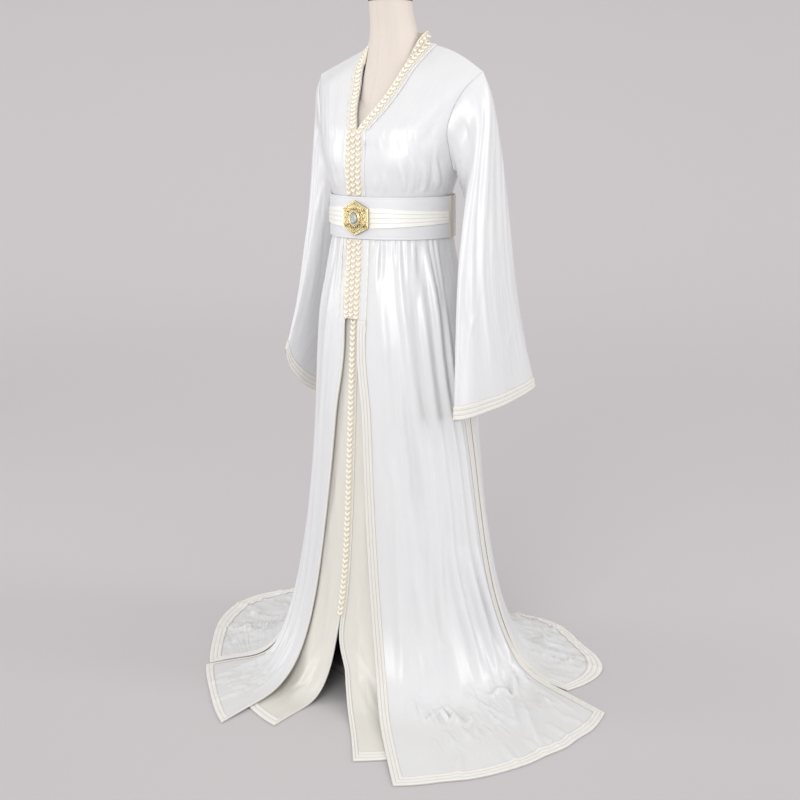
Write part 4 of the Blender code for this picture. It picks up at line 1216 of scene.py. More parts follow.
    def gathers(self, runs: Array, places: Array) -> Array:
        """Work out the uneven gathers that hang from the belt.

        Args:
            runs: Rows by columns of runs.
            places: Rows by columns of places.

        Returns:
            Their heights, between 0 and 2.
        """
        turns = 2 * math.pi * runs
        wander = 1.6 * np.sin(1.7 * turns + 2 * math.pi * 0.13 * self.waves) + 0.7 * np.sin(
            4.3 * turns + 2 * math.pi * 0.31)
        wide = 1 - np.cos(self.waves * turns + wander)
        fine = 0.35 * np.sin(2.6 * self.waves * turns + 3 * wander) * np.clip(1.6 - places, 0, 1)
        longer = 0.5 + 0.5 * np.sin(2.7 * turns + 2 * math.pi * 0.19 * self.waves)
        fade = 1 - smooth_step((places - 0.8) / (0.5 + 1.5 * longer**2))
        return fade * (0.4 + 0.6 * longer) * (wide + fine * np.clip(wide, 0.0, 1.0))

    def close_front(self, places: Array, points: Array) -> None:
        """Bring a front's inner edge to the middle line down to where it opens.

        Args:
            places: Place of each row.
            points: Rows by columns of points, which it moves.
        """
        if not self.is_front:
            return
        last, fade = (OPENING_PLACE, 1.25) if self.outer else (UNDER_SLIT_PLACE, 0.9)
        steps = np.linspace(0.0, 1.0, RIBBON_STEPS + 1)
        for row, place in enumerate(places):
            if -1.0 - NECK_SHARE <= place <= last + fade:
                middle = KNOTS_END_X * smooth_step((min(place, last) - 3.6) / 2.6)
                if self.outer:
                    middle = OPENING_SPREAD[self.side] * smooth_step((place - SPREAD_PLACE) / 0.14)
                wanted = middle + self.side * (SEAM_GAP / 2 + steps * self.strip)
                hold = 1.0 - float(smooth_step((place - last) / fade))
                points[row, :RIBBON_STEPS + 1, 0] = mix(points[row, :RIBBON_STEPS + 1, 0], wanted, hold)

    def square_seams(self, grid: ClothGrid) -> None:
        """Turn the normals along seams into the seam's own plane.

        Args:
            grid: The panel's face.
        """
        places = grid.places
        front = self.is_front & (places > -1.0 - NECK_SHARE) & (places < 1.5)
        grid.normals[front, 0, 0] = 0.0
        side = (places >= -1.0) & (places < SLIT_PLACE - 0.5)
        if not self.is_front:
            grid.normals[side, 0, 1] = 0.0
        grid.normals[side, -1, 1] = 0.0
        if self.outer:
            grid.normals[0, :, 1] = 0.0
        grid.normals = unit(grid.normals)

    def build(self, cloth: Material, braid: Material) -> ClothGrid:
        """Make the panel and its ribbons.

        Args:
            cloth: The panel's material.
            braid: The ribbons' material.

        Returns:
            The panel's outer face.
        """
        grid = self.lay_out()
        count = grid.points.shape[1]
        strip = np.arange(0, RIBBON_STEPS, 4)
        columns = np.concatenate([strip, np.arange(RIBBON_STEPS, count - RIBBON_STEPS),
                                  count - 1 - strip[::-1]])
        made = dress_sheet(self.name, grid, columns, cloth, Slot.SATIN if self.outer else Slot.UNDER_SATIN)
        extras = [self.build_ribbon(grid, braid)] if self.ribbon else []
        return grid

    def build_ribbon(self, grid: ClothGrid, braid: Material) -> bpy.types.Object:
        """Make the corded ribbon round the panel's edges, mitred at its corners.

        Args:
            grid: The panel's face.
            braid: The ribbon's material.

        Returns:
            The ribbon.
        """
        rows, columns = grid.points.shape[:2]
        row, column = np.meshgrid(np.arange(rows), np.arange(columns), indexing="ij")
        steps = RIBBON_STEPS // 3
        place = grid.places[:, None]
        sides = (np.where(place >= self.ribbon_from[0], column, 999),
                 np.where(place >= self.ribbon_from[1], columns - 1 - column, 999), rows - 1 - row)
        near = [np.minimum(side[:-1, :-1], side[1:, 1:]) < steps * count
                for side, count in zip(sides, self.cords)]
        cells = grid.cells()[np.logical_or.reduce(near)]
        along = travel(grid.points) + travel(grid.points, 1)
        return dress_ribbon(self.ribbon, grid, cells, np.minimum.reduce(sides) / steps, along, braid)


def dress_sheet(name: str, grid: ClothGrid, columns: Array, cloth: Material, slot: Slot) -> bpy.types.Object:
    """Make a cloth wall over a grid whose last rows and columns are finer, for a ribbon.

    Args:
        name: Node that it stands for.
        grid: Its outer face.
        columns: Columns to keep.
        cloth: Its material.
        slot: Its slot.

    Returns:
        The piece.
    """
    count = len(grid.places)
    rows = np.concatenate([np.arange(count - RIBBON_STEPS), np.arange(count - RIBBON_STEPS + 2, count, 3)])
    coarse = grid.thinned(rows, columns)
    return dress(name, [wall_patch(coarse, coarse.cells(), -CLOTH, 0.0)], [cloth], slot)


def dress_ribbon(name: str, grid: ClothGrid, cells: Array, cords: Array, along: Array, braid: Material
                 ) -> bpy.types.Object:
    """Make a corded ribbon over cells of a grid; cords count its cords in from the edge."""
    wall = wall_patch(grid, cells, LAY_GAP, LAY_GAP + cord_height(cords), np.stack([cords, along], axis=2))
    return dress(name, [wall], [braid], Slot.EDGE_RIBBON, sharp=80.0)


def cord_height(cords: Array) -> Array:
    """Height of laid cords side by side, at a number of cords from the outer edge."""
    return (0.35 + 1.1 * np.abs(np.sin(math.pi * np.clip(cords, 0.0, 3.0))) ** 0.6) * MM


# ------------------------------------------------------------------------- sleeves
Point = tuple[float, float, float]


@dataclass
class Sleeve:
    """An empty sleeve that hangs flat: a tube from the armhole to the cuff.

    Attributes:
        name: Node that it stands for.
        side: 1 on the wearer's left and -1 on the right.
        stations: Ridge, front fold, underarm seam and rear fold at each station.
        creases: Its ridges and troughs; runs go round from the ridge, over the front
            fold at 0.25, the underarm seam at 0.5 and the rear fold at 0.75.
        cut: Width and length of the flat piece; not used.
        cut_area: Its area in square metres; not used.
        around: Points round it.
        sharpness: Over 1 for folds that are pinched.
        cap_spread: How far its cap stands off the shoulder.
        crease_share: Share of its creases' height that is left.
    """

    name: str
    side: int
    stations: tuple[tuple[Point, Point, Point, Point], ...]
    creases: tuple[Crease, ...]
    cut: tuple[float, float]
    cut_area: float
    around: int = 96
    sharpness: float = 1.15
    cap_spread: float = 0.007
    crease_share: float = 0.55

    def seat(self, share: float, panel: ClothGrid, column: int) -> Array:
        """Find a point just outside the armhole's edge.

        Args:
            share: Share of the armhole's height.
            panel: The panel that the sleeve is sewn to.
            column: The panel's column along the armhole.

        Returns:
            The point.
        """
        row = panel.row_of(-1.0 - share)
        low = min(int(row), len(panel.places) - 2)
        point = mix(panel.points[low, column], panel.points[low + 1, column], row - low)
        return point + (self.side * SEAM_GAP, 0.0, -SEAM_GAP * (1 - share))

    def lay_out(self, front_panel: ClothGrid, back_panel: ClothGrid) -> ClothGrid:
        """Work out the sleeve's outer face.

        Args:
            front_panel: The front that it is sewn to.
            back_panel: The back.

        Returns:
            The face.
        """
        last = len(self.stations) - 1
        guides = np.array(self.stations)
        cuff = float(np.linalg.norm(guides[-1, 0] - guides[-2, 0]))
        turn_place = last - HEM_WIDTH / cuff
        places = np.concatenate([np.linspace(0.0, 1.3, 44)[:-1], np.linspace(1.3, turn_place, 92)[:-1],
                                 np.linspace(turn_place, last, RIBBON_STEPS + 1)])
        rows, turns = [], circle(self.around)
        for place in places:
            ridge, front, under, rear = guide_curve(guides, place)
            middle = (front + rear) / 2
            joined = float(smooth_step(place))
            row = []
            for turn, bulge, lean in zip(turns, np.cos(turns), np.sin(turns)):
                point = middle + ((ridge if bulge > 0 else under) - middle) * abs(bulge) ** self.sharpness
                point = point + ((front if lean > 0 else rear) - middle) * abs(lean) ** self.sharpness
                down = min(turn, 2 * math.pi - turn) / math.pi
                share = float(np.interp(down, np.linspace(0.0, 1.0, len(BODY_SHARES)), BODY_SHARES))
                seat = self.seat(share, front_panel, -1) if turn < math.pi else \
                    self.seat(share, back_panel, 0 if self.side > 0 else -1)
                spread = self.cap_spread * 4.0 * joined * (1.0 - joined) * math.sqrt(1.0 - share)
                row.append(mix(seat, point, joined) + (self.side * spread, 0.0, 0.0))
            rows.append(row)
        runs = np.arange(self.around) / self.around
        grid = ClothGrid(np.array(rows), -float(self.side), True, places, runs)
        down = places[:, None]
        slack = 0.9 * np.sin(3 * turns + 1.3 * down + self.side) * np.sin(2.1 * down + 2 * turns)
        slack = slack + 0.5 * np.sin(7 * turns - 0.8 * down) * smooth_step((down - 1.5) / 2.5)
        grid.raise_by(1.2 * MM * slack * smooth_step(down / 1.2))
        finer = sum(crease.heights(grid) for crease in self.creases)
        grid.raise_by(self.crease_share * finer * smooth_step(down / 0.35))
        return grid

    def build(self, grids: dict[str, ClothGrid], cloth: Material, braid: Material) -> None:
        """Make the sleeve and the corded ribbon round its cuff.

        Args:
            grids: Outer faces of the panels by name.
            cloth: The sleeve's material.
            braid: The ribbon's material.
        """
        front = "outer_front_left" if self.side > 0 else "outer_front_right"
        grid = self.lay_out(grids[front], grids["outer_back"])
        made = dress_sheet(self.name, grid, np.arange(self.around), cloth, Slot.SATIN)
        rows = len(grid.places)
        cords = np.repeat(3.0 * (rows - 1 - np.arange(rows))[:, None] / RIBBON_STEPS, self.around, axis=1)
        cuff = dress_ribbon(self.name.replace("sleeve", "cuff_ribbon"), grid,
                            grid.cells()[rows - 1 - RIBBON_STEPS:], cords, travel(grid.points, 1), braid)


# --------------------------------------------------------------------------- braids
class KnotKind(Enum):
    """Shapes of a braid's knots, by the way that their lumps slant."""

    TURN = (1,)           # one slanting turn of a rope
    CHEVRON = (-1, 1)     # two slanting knots that meet below


@dataclass(frozen=True)
class KnotStyle:
    """One knot of a braid, made of rounded lumps of cord; sizes are in millimetres."""

    kind: KnotKind
    length: float            # of a lump
    width: float
    height: float
    spread: float = 0.0      # from the knot's middle to a lump's
    lean: float = 38.0       # slant of the lumps in degrees
    pitch: float = 11.2      # from knot to knot

    def patches(self) -> list[Patch]:
        """Make the knot's lumps about the origin.

        Returns:
            The lumps.
        """
        one = lump(self.length * MM, self.width * MM, self.height * MM, twist=0.16)
        c, s = math.cos(math.radians(self.lean)), math.sin(math.radians(self.lean))
        return [one.moved(((c, hand * s, 0), (-hand * s, c, 0), UP), (hand * self.spread * MM, 0, 0))
                for hand in self.kind.value]


@dataclass
class Braid:
    """A band laid along the first edge of one grid or two that face each other.

    Attributes:
        name: Node that it stands for.
        grids: The cloth it lies on; distances under zero are on the second.
        first_z: Height of its upper end at the edge.
        last_z: Height of its lower end.
        band: Distance from the edge and height of points across the band, in mm.
        lines: Its columns of knots: distance in mm, share of a knot that the column is
            set lower, and its knots.
        tape: Distances between which its tan tape shows, in mm, as painted shade between the knots; the rest
            is satin.
        hold: Last row that it follows; below that it runs straight on.
        lift: Height of its back above the cloth in mm.
        cords: Distance, height and radius of plain cords along it, in mm.
        drift: How far it lies to the second grid's side at its upper and lower end,
            in mm, as negative distances.
    """

    name: str
    grids: tuple[ClothGrid, ...]
    first_z: float
    last_z: float
    band: tuple[tuple[float, float], ...]
    lines: tuple[tuple[float, float, KnotStyle], ...]
    tape: tuple[float, float]
    hold: float = 999.0
    lift: float = 0.4
    cords: tuple[tuple[float, float, float], ...] = ()
    drift: tuple[float, float] = (0.0, 0.0)

    def __post_init__(self) -> None:
        """Find the rows that it runs between."""
        self.ends = self.rows(KNOT_PITCH)[[0, -1]]

    def spot(self, row: float, distance: float) -> tuple[Array, Array]:
        """Find a spot under the band.

        Args:
            row: Row number, with its fraction.
            distance: Distance from the edge; under zero it is on the second grid.

        Returns:
            The point and its normal.
        """
        if row > self.hold:
            last, _ = self.spot(self.hold, 0.0)
            point, normal = self.spot(self.hold, distance)
            return point + (last - self.spot(self.hold - 1.0, 0.0)[0]) * (row - self.hold), normal
        distance += float(np.interp(row, self.ends, self.drift)) * MM
        point, normal = self.grids[0 if distance >= 0 else -1].at(row, abs(distance))
        if len(self.grids) == 2 and distance == 0.0:
            other, other_normal = self.grids[1].at(row, 0.0)
            point, normal = (point + other) / 2, unit(normal + other_normal)
        return point, normal

    def rows(self, pieces: float) -> Array:
        """Space rows evenly along the edge.

        Args:
            pieces: Their spacing in metres.

        Returns:
            Row numbers, with their fractions.
        """
        edge = self.grids[0].points[:, 0]
        start = int(np.argmin(np.where(edge[:, 2] <= self.first_z + 1e-4, -edge[:, 2], 9.0)))
        numbers = np.linspace(0, len(edge) - 1, 8 * len(edge))
        line = between(numbers, np.arange(len(edge)), edge)
        inside = (line[:, 2] <= self.first_z) & (line[:, 2] >= self.last_z) & (numbers >= start - 1)
        along = travel(line[inside])
        count = max(2, round(along[-1] / pieces))
        return np.interp(np.linspace(0.0, along[-1], count + 1), along, numbers[inside])

    def build(self, cord: Material, ribbon: Material, painted_shade_tape: Material) -> None:
        """Make the band, its cords and its knots.

        Args:
            cord: Material of the knots and cords.
            ribbon: Material of the band's margins.
            painted_shade_tape: Material of the tan tape under its knots, painted shade between them.
        """
        rows = self.rows(KNOT_PITCH / 2)
        spots = np.array([[self.spot(row, distance * MM) for distance, _ in self.band] for row in rows])
        band = ClothGrid(spots[:, :, 0])
        band.normals = spots[:, :, 1]
        distances, levels = np.array(self.band).T
        heights = np.tile((self.lift + levels) * MM, len(rows))
        middles = (distances[:-1] + distances[1:]) / 2
        # The tan tape in the band's middle paints the shade between the knots.
        shade_tape_cells = (middles > self.tape[0]) & (middles < self.tape[1])
        patches = [wall_patch(band, band.cells()[:, chosen], self.lift * MM, heights).finished(finish)
                   for finish, chosen in ((1, ~shade_tape_cells), (2, shade_tape_cells)) if chosen.any()]
        for distance, height, radius in self.cords:
            path, normals = np.array([self.spot(row, distance * MM) for row in self.rows(KNOT_PITCH / 3)]
                                     ).swapaxes(0, 1)
            patches.append(tube(path + normals * (self.lift + height) * MM, normals, radius * MM))
        for distance, lower, knot in self.lines:
            rows = self.rows(knot.pitch * MM)
            top = np.interp(distance, distances, levels) + self.lift - 0.5
            for number in range(len(rows) - (2 if lower else 1)):
                row = mix(rows[number], rows[number + 1], 0.5 + lower)
                point, out = self.spot(row, distance * MM)
                down = unit(self.spot(row + 0.3, distance * MM)[0] - point)
                down = unit(down - out * (down @ out))
                patches += [patch.moved((np.cross(down, out), down, out), point + out * top * MM)
                            for patch in knot.patches()]
        dress(self.name, patches, [cord, ribbon, painted_shade_tape], Slot.BRAID, sharp=80.0)


@dataclass
class NeckBand:
    """Low stand round the back of the neck that runs out along the front's neck edges."""

    radius: float = NECK_POINT[0]
    height: float = 20 * MM
    first: float = 12.0                                         # degrees where its round part starts
    last: float = 168.0
    thickness: float = 1.6 * MM
    run_out: tuple[float, ...] = (0.86, 0.90, 0.94, 0.975)      # armhole shares beside its ends
    end_rise: tuple[float, ...] = (0.15, 0.4, 0.7, 0.92)        # shares of its height there
    inset: float = 1.8 * MM
    sink: float = 1.5 * MM

    def path(self) -> tuple[Array, Array]:
        """Work out its lower edge, from the left round to the right.

        Returns:
            Points along the edge, and the band's height at each.
        """
        middle_y = float(body_points(*NECK_POINT, 1)[1]) - 0.012
        turns = np.radians(np.linspace(self.first, self.last, 13))
        ring = np.column_stack([self.radius * np.cos(turns), middle_y + self.radius * np.sin(turns),
                                np.full(len(turns), NECK_BACK_Z + 2 * LAY_GAP)])
        left, right = (np.array([front_row(share, np.array([0.0]), side)[0] for share in self.run_out])
                       - (side * self.inset, 0.0, self.sink) for side in (1, -1))
        keys = np.concatenate([left, ring, right[::-1]])
        rise = self.height * np.array(self.end_rise)
        heights = np.concatenate([rise, np.full(len(turns), self.height), rise[::-1]])
        stations = np.arange(len(keys), dtype=float)
        wanted = np.linspace(0.0, stations[-1], 6 * len(keys))
        return through(stations, keys, wanted), np.interp(wanted, stations, heights)

    def build(self, cord: Material, ribbon: Material) -> None:
        """Make the band with its knots and the cords on its edges.

        Args:
            cord: Material of the knots and cords.
            ribbon: Material of the band.
        """
        line, heights = self.path()
        out = unit(np.cross(unit(np.gradient(line, axis=0)), UP))
        levels = np.linspace(0.0, 1.0, 7)
        band = ClothGrid(line[:, None] + levels[None, :, None] * heights[:, None, None] * UP)
        band.normals = np.repeat(out[:, None], len(levels), axis=1)
        patches = [wall_patch(band, band.cells(), 0.0, self.thickness).finished(1)]
        patches += [tube(line + out * self.thickness + np.outer(heights * share, UP), out, 1.1 * MM)
                    for share in (0.06, 0.94)]
        along = travel(line)
        knots = round(along[-1] / KNOT_PITCH)
        for number in range(1, knots):
            at = float(np.interp((number + 0.5) / (knots + 1) * along[-1], along, np.arange(len(line))))
            foot, outward, tall = (mix(values[int(at)], values[int(at) + 1], at - int(at))
                                   for values in (line, out, heights))
            outward = unit(outward)
            one = lump(8.6 * MM, min(7.6 * MM, 0.5 * tall), 4.6 * MM, twist=0.16)
            origin = foot + outward * (self.thickness - 0.5 * MM) + UP * tall / 2
            patches.append(one.moved((UP, np.cross(UP, outward), outward), origin))
        dress("neck_band", patches, [cord, ribbon], Slot.BRAID, sharp=80.0)


# ------------------------------------------------------------------------- the belt
@dataclass
class Belt:
    """Stiff satin belt: front, back, two side tapes and a pleated wrap."""

    width: float = 0.1330             # half width and depths of its inner face
    front: float = 0.1210
    back: float = 0.1165
    cloth: float = 2.5 * MM
    tape_start: float = 95.0          # degrees from the front
    tape_end: float = 103.0
    gap: float = 0.25
    wrap_end: float = 92.0
    wrap_front: float = 21 * MM       # half height of the wrap in front and at its ends
    wrap_side: float = 12.5 * MM
    pleats: int = 4
    pleat_height: float = 1.4 * MM

    @property
    def middle(self) -> float:
        """Height of the belt's middle."""
        return (BELT_LOW_Z + BELT_HIGH_Z) / 2

    def face(self, angles: Array, z: Array) -> tuple[Array, Array]:
        """Work out spots of the belt's inner face.

        Args:
            angles: Angles from the front.
            z: Heights.

        Returns:
            The points and the directions out.
        """
        depth = np.where(np.cos(angles) > 0, self.front, self.back)
        points = np.stack([self.width * np.sin(angles), -depth * np.cos(angles), z], axis=-1)
        out = np.stack([np.sin(angles) / self.width, -np.cos(angles) / depth, np.zeros_like(depth)], axis=-1)
        return points, unit(out)

    def stretch(self, name: str, first: float, last: float, levels: Callable[[Array], Array], low: float,
                high: Callable[[Array, Array], Array], material: Material, slot: Slot, steps: int = 120
                ) -> bpy.types.Object:
        """Make a stretch of the belt between two angles.

        Args:
            name: Node that it stands for.
            first: First angle in degrees from the front.
            last: Last angle.
            levels: Heights across it at each angle, angles by levels.
            low: Height of its back above the belt's inner face.
            high: Height of its face from shares across and angles.
            material: Its material.
            slot: Its slot.
            steps: Steps from end to end.

        Returns:
            The piece.
        """
        angles = np.radians(np.linspace(first, last, steps + 1))
        z = levels(angles)
        shares, spread = np.meshgrid(np.linspace(0.0, 1.0, z.shape[1]), angles)
        points, out = self.face(spread, z)
        grid = ClothGrid(points)
        grid.normals = out
        return dress(name, [wall_patch(grid, grid.cells(), low, high(shares, spread))], [material], slot)

    def band_levels(self, angles: Array) -> Array:
        """Space levels across the plain band, finer at its edges.

        Args:
            angles: Angles from the front.

        Returns:
            Angles by levels of heights.
        """
        lower = np.array([0.0, 0.006, 0.02, 0.045, 0.06, 0.075, 0.10, 0.2, 0.35])
        shares = np.concatenate([lower, [0.5], 1.0 - lower[::-1]])
        return np.tile(mix(BELT_LOW_Z, BELT_HIGH_Z, shares), (len(angles), 1))

    def band_height(self, shares: Array, angles: Array) -> Array:
        """Shape the face of the plain band: rounded edges and a stitched line inside each.

        Args:
            shares: Angles by levels of shares across.
            angles: Angles by levels of angles.

        Returns:
            Angles by levels of heights over the belt's inner face.
        """
        levels = self.band_levels(angles[:, 0])
        edge = np.minimum(levels - BELT_LOW_Z, BELT_HIGH_Z - levels)
        rounded = np.sqrt(np.clip(1.0 - np.clip(1.0 - edge / (1.2 * MM), 0.0, 1.0) ** 2, 0.0, 1.0))
        stitch = np.exp(-(((edge - 5.0 * MM) / (0.9 * MM)) ** 2))
        return self.cloth * (0.55 + 0.45 * rounded) - 0.35 * MM * stitch

    def tape_height(self, shares: Array, angles: Array) -> Array:
        """Face of a side tape: upright ribs."""
        return 1.6 * self.cloth - 0.5 * MM * np.abs(np.sin(60 * angles))

    def wrap_levels(self, angles: Array) -> Array:
        """Space levels across the pleated wrap, narrower towards the sides."""
        half = mix(self.wrap_front, self.wrap_side, smooth_step(np.abs(angles) / math.radians(self.wrap_end)))
        return self.middle + half[:, None] * np.linspace(-1.0, 1.0, 12 * self.pleats + 1)

    def wrap_height(self, shares: Array, angles: Array) -> Array:
        """Shape the face of the wrap: pleats that lap down over each other, with slack between.

        Args:
            shares: Angles by levels of shares across.
            angles: Angles by levels of angles.

        Returns:
            Angles by levels of heights over the belt's inner face.
        """
        down = (1.0 - shares) * self.pleats
        part = down - np.floor(np.minimum(down, self.pleats - 1e-6))
        lap = part**0.8 * (1.0 - smooth_step((part - 0.82) / 0.18))
        slack = 0.18 * np.sin(9 * angles + 4 * shares) * np.sin(4.0 * angles + 9 * shares + 1.0)
        return self.cloth + LAY_GAP + 0.9 * MM + self.pleat_height * (0.95 * lap + 0.12 * slack)

    def build(self, satin: Material, pleated: Material, tape: Material) -> None:
        """Make the belt.

        Args:
            satin: Material of its two lengths.
            pleated: Material of the wrap.
            tape: Material of the side tapes.
        """
        plain = (self.band_levels, 0.0, self.band_height, satin, Slot.BELT_SATIN)
        ribbed = (self.band_levels, 0.0, self.tape_height, tape, Slot.BELT_EDGING, 12)
        start, end = self.tape_start + self.gap, self.tape_end + self.gap
        front = self.stretch("belt_front", -self.tape_start, self.tape_start, *plain)
        back = self.stretch("belt_back", end, 360 - end, *plain)
        tapes = [self.stretch(name, side * start, side * self.tape_end, *ribbed)
                 for side, name in ((1, "belt_strip_left"), (-1, "belt_strip_right"))]
        wrap = self.stretch("belt_wrap", -self.wrap_end, self.wrap_end, self.wrap_levels,
                            self.cloth + LAY_GAP, self.wrap_height, pleated, Slot.BELT_SATIN, 150)


@dataclass
class Buckle:
    """Gilt buckle: a domed long hexagon with rope rims, scrolls, beads and stones."""

    belt: Belt
    half_width: float = 0.030
    half_height: float = 0.035
    shoulder: float = 0.019
    back: float = 6.5 * MM
    stone_width: float = 8.0 * MM
    stone_height: float = 10.5 * MM
    scroll_size: float = 3.3 * MM
    scroll_turns: float = 1.35
    small_stones: tuple[tuple[float, float], ...] = (
        (14.0, 12.5), (-14.0, 12.5), (14.0, -12.5), (-14.0, -12.5), (0.0, 18.5), (0.0, -18.5))
    # Share of the plate's size and height in mm, from its back over its edge to its middle.
    profile: tuple[tuple[float, float], ...] = (
        (1.0, 0.0), (1.0, 1.6), (0.985, 2.6), (0.95, 3.0), (0.88, 3.2), (0.78, 3.6), (0.62, 4.6),
        (0.40, 5.6), (0.20, 6.0), (0.02, 6.0))

    def outline(self, share: float, per_side: int = 8) -> Array:
        """Work out the hexagon's outline.

        Args:
            share: Share of its full size.
            per_side: Points on each side.

        Returns:
            Flat points, x and z.
        """
        w, h, s = self.half_width, self.half_height, self.shoulder
        corners = np.array([(0, h), (w, s), (w, -s), (0, -h), (-w, -s), (-w, s)])
        steps = np.arange(per_side)[:, None] / per_side
        return np.vstack([mix(a, b, steps) for a, b in zip(corners, np.roll(corners, -1, axis=0))]) * share

    def oval(self, share: float, count: int) -> Array:
        """Flat points round the stone, at a share of its size."""
        turns = circle(count)
        return share * np.column_stack([self.stone_width * np.sin(turns), self.stone_height * np.cos(turns)])

    def crown(self, x: Array, z: Array) -> Array:
        """Work out the height of the domed plate's face.

        Args:
            x: Distances across the plate.
            z: Distances up it.

        Returns:
            The heights.
        """
        w, h, s = self.half_width, self.half_height, self.shoulder
        share = np.maximum(np.abs(x) / w, (np.abs(z) + np.abs(x) * (h - s) / w) / h)
        shares, heights = np.array(sorted(self.profile[1:])).T
        return np.interp(share, shares, heights * MM)

    def wrapped(self, patch: Patch) -> Patch:
        """Bend a flat patch round the belt.

        Args:
            patch: A patch of x, z and height over the plate's back.

        Returns:
            The patch in its place.
        """
        x, z, height = patch.vertices.T
        points, out = self.belt.face(np.arcsin(x / self.belt.width), self.belt.middle + z)
        return replace(patch, vertices=points + out * (self.back + height)[:, None])

    def wire(self, path: Array, radius: float, closed: bool = False) -> Patch:
        """Lay a wire on the plate along flat points, as a ring if it is closed."""
        line = np.column_stack([path, self.crown(*path.T) + 0.4 * radius])
        return self.wrapped(tube(line, np.tile(UP, (len(line), 1)), radius, around=7, closed=closed))

    def bead(self, x: float, z: float, radius: float) -> Patch:
        """Set a round grain on the plate at x across and z up."""
        grain = lump(2 * radius, 2 * radius, 1.7 * radius, around=8, along=6)
        return self.wrapped(grain.moved(np.eye(3), (x, z, float(self.crown(x, z)) - 0.3 * radius)))

    def plate(self) -> Patch:
        """Make the domed plate with its flat back.

        Returns:
            The plate.
        """
        return self.wrapped(stacked(np.array([
            np.pad(self.outline(share)[::-1], ((0, 0), (0, 1)), constant_values=height * MM)
            for share, height in self.profile])))

    def scroll(self, x: float, z: float, start: float, hand: int) -> Array:
        """Wind a spiral.

        Args:
            x: Distance of its eye across the plate.
            z: Distance of its eye up the plate.
            start: Angle of its outer end in degrees.
            hand: 1 to wind anticlockwise and -1 for clockwise.

        Returns:
            Flat points from its outer end to its eye.
        """
        steps = np.linspace(0.0, 1.0, 26)
        angle = math.radians(start) + hand * self.scroll_turns * 2 * math.pi * steps
        radius = self.scroll_size * (1.0 - 0.78 * steps)
        return np.column_stack([x + radius * np.cos(angle), z + radius * np.sin(angle)])

    def ornament(self) -> list[Patch]:
        """Make the rims, scrolls, beads and the setting of the stone.

        Returns:
            Their patches.
        """
        made = [self.wire(self.outline(share, 12), radius * MM, True)
                for share, radius in ((0.965, 1.25), (0.87, 0.8))]
        made += [self.bead(x, z, 1.0 * MM) for x, z in self.outline(0.917, 9)]
        made += [self.wire(self.oval(share, 40), radius * MM, True)
                 for share, radius in ((1.22, 1.0), (1.50, 0.7))]
        made += [self.bead(x, z, 0.85 * MM) for x, z in self.oval(1.37, 22)]
        quarter = ((0.0, 24.0), (13.5, 19.5), (20.5, 8.5), (7.0, 20.5), (14.5, 11.5))
        spots = [(x * flip, z * up) for x, z in quarter for flip in (1, -1) for up in (1, -1)
                 if x or flip > 0]
        for x, z in spots + [(15.0, 0.0), (-15.0, 0.0), (21.5, 0.0), (-21.5, 0.0)]:
            lean = math.degrees(math.atan2(z, x))
            for hand in (1, -1):
                shift = math.radians(lean + 90 * hand)
                eye = (x * MM + 3.1 * MM * math.cos(shift), z * MM + 3.1 * MM * math.sin(shift))
                made.append(self.wire(self.scroll(*eye, lean - 90 * hand, hand), 0.62 * MM))
            made += [self.bead(x * 0.80 * MM, z * 0.80 * MM, 1.1 * MM),
                     self.bead(x * 1.16 * MM, z * 1.12 * MM, 0.9 * MM)]
        return made

    def build(self, gilt: Material, ground: Material, pale: Material, smoky: Material) -> None:
        """Make the buckle and its stones.

        Args:
            gilt: Material of its wires and grains, pale as a painted highlight.
            ground: Material of its plate, darkened with tarnish and painted shade.
            pale: Material of the middle stone.
            smoky: Material of the small stones.
        """
        patches = [self.plate().finished(2)] + self.ornament()
        for x, z in np.array(self.small_stones) * MM:
            turns = circle(16)
            setting = np.column_stack([x + 2.3 * MM * np.cos(turns), z + 2.3 * MM * np.sin(turns)])
            patches += [self.wire(setting, 0.6 * MM, True), self.bead(x, z, 1.9 * MM).finished(1)]
        dress("buckle", patches, [gilt, smoky, ground], Slot.GILT, sharp=60.0)
        seat = self.profile[-1][1] * MM + LAY_GAP
        rings = np.array([
            np.pad(self.oval(share, 24), ((0, 0), (0, 1)), constant_values=seat + height * MM)
            for share, height in ((1.0, 0.0), (1.0, 1.2), (0.86, 2.8), (0.62, 4.0), (0.36, 4.6))])
        turned = np.roll(rings[:, ::-1], 1, axis=1)
        dress("buckle_stone", [self.wrapped(stacked(turned))], [pale], Slot.STONE, sharp=20.0)


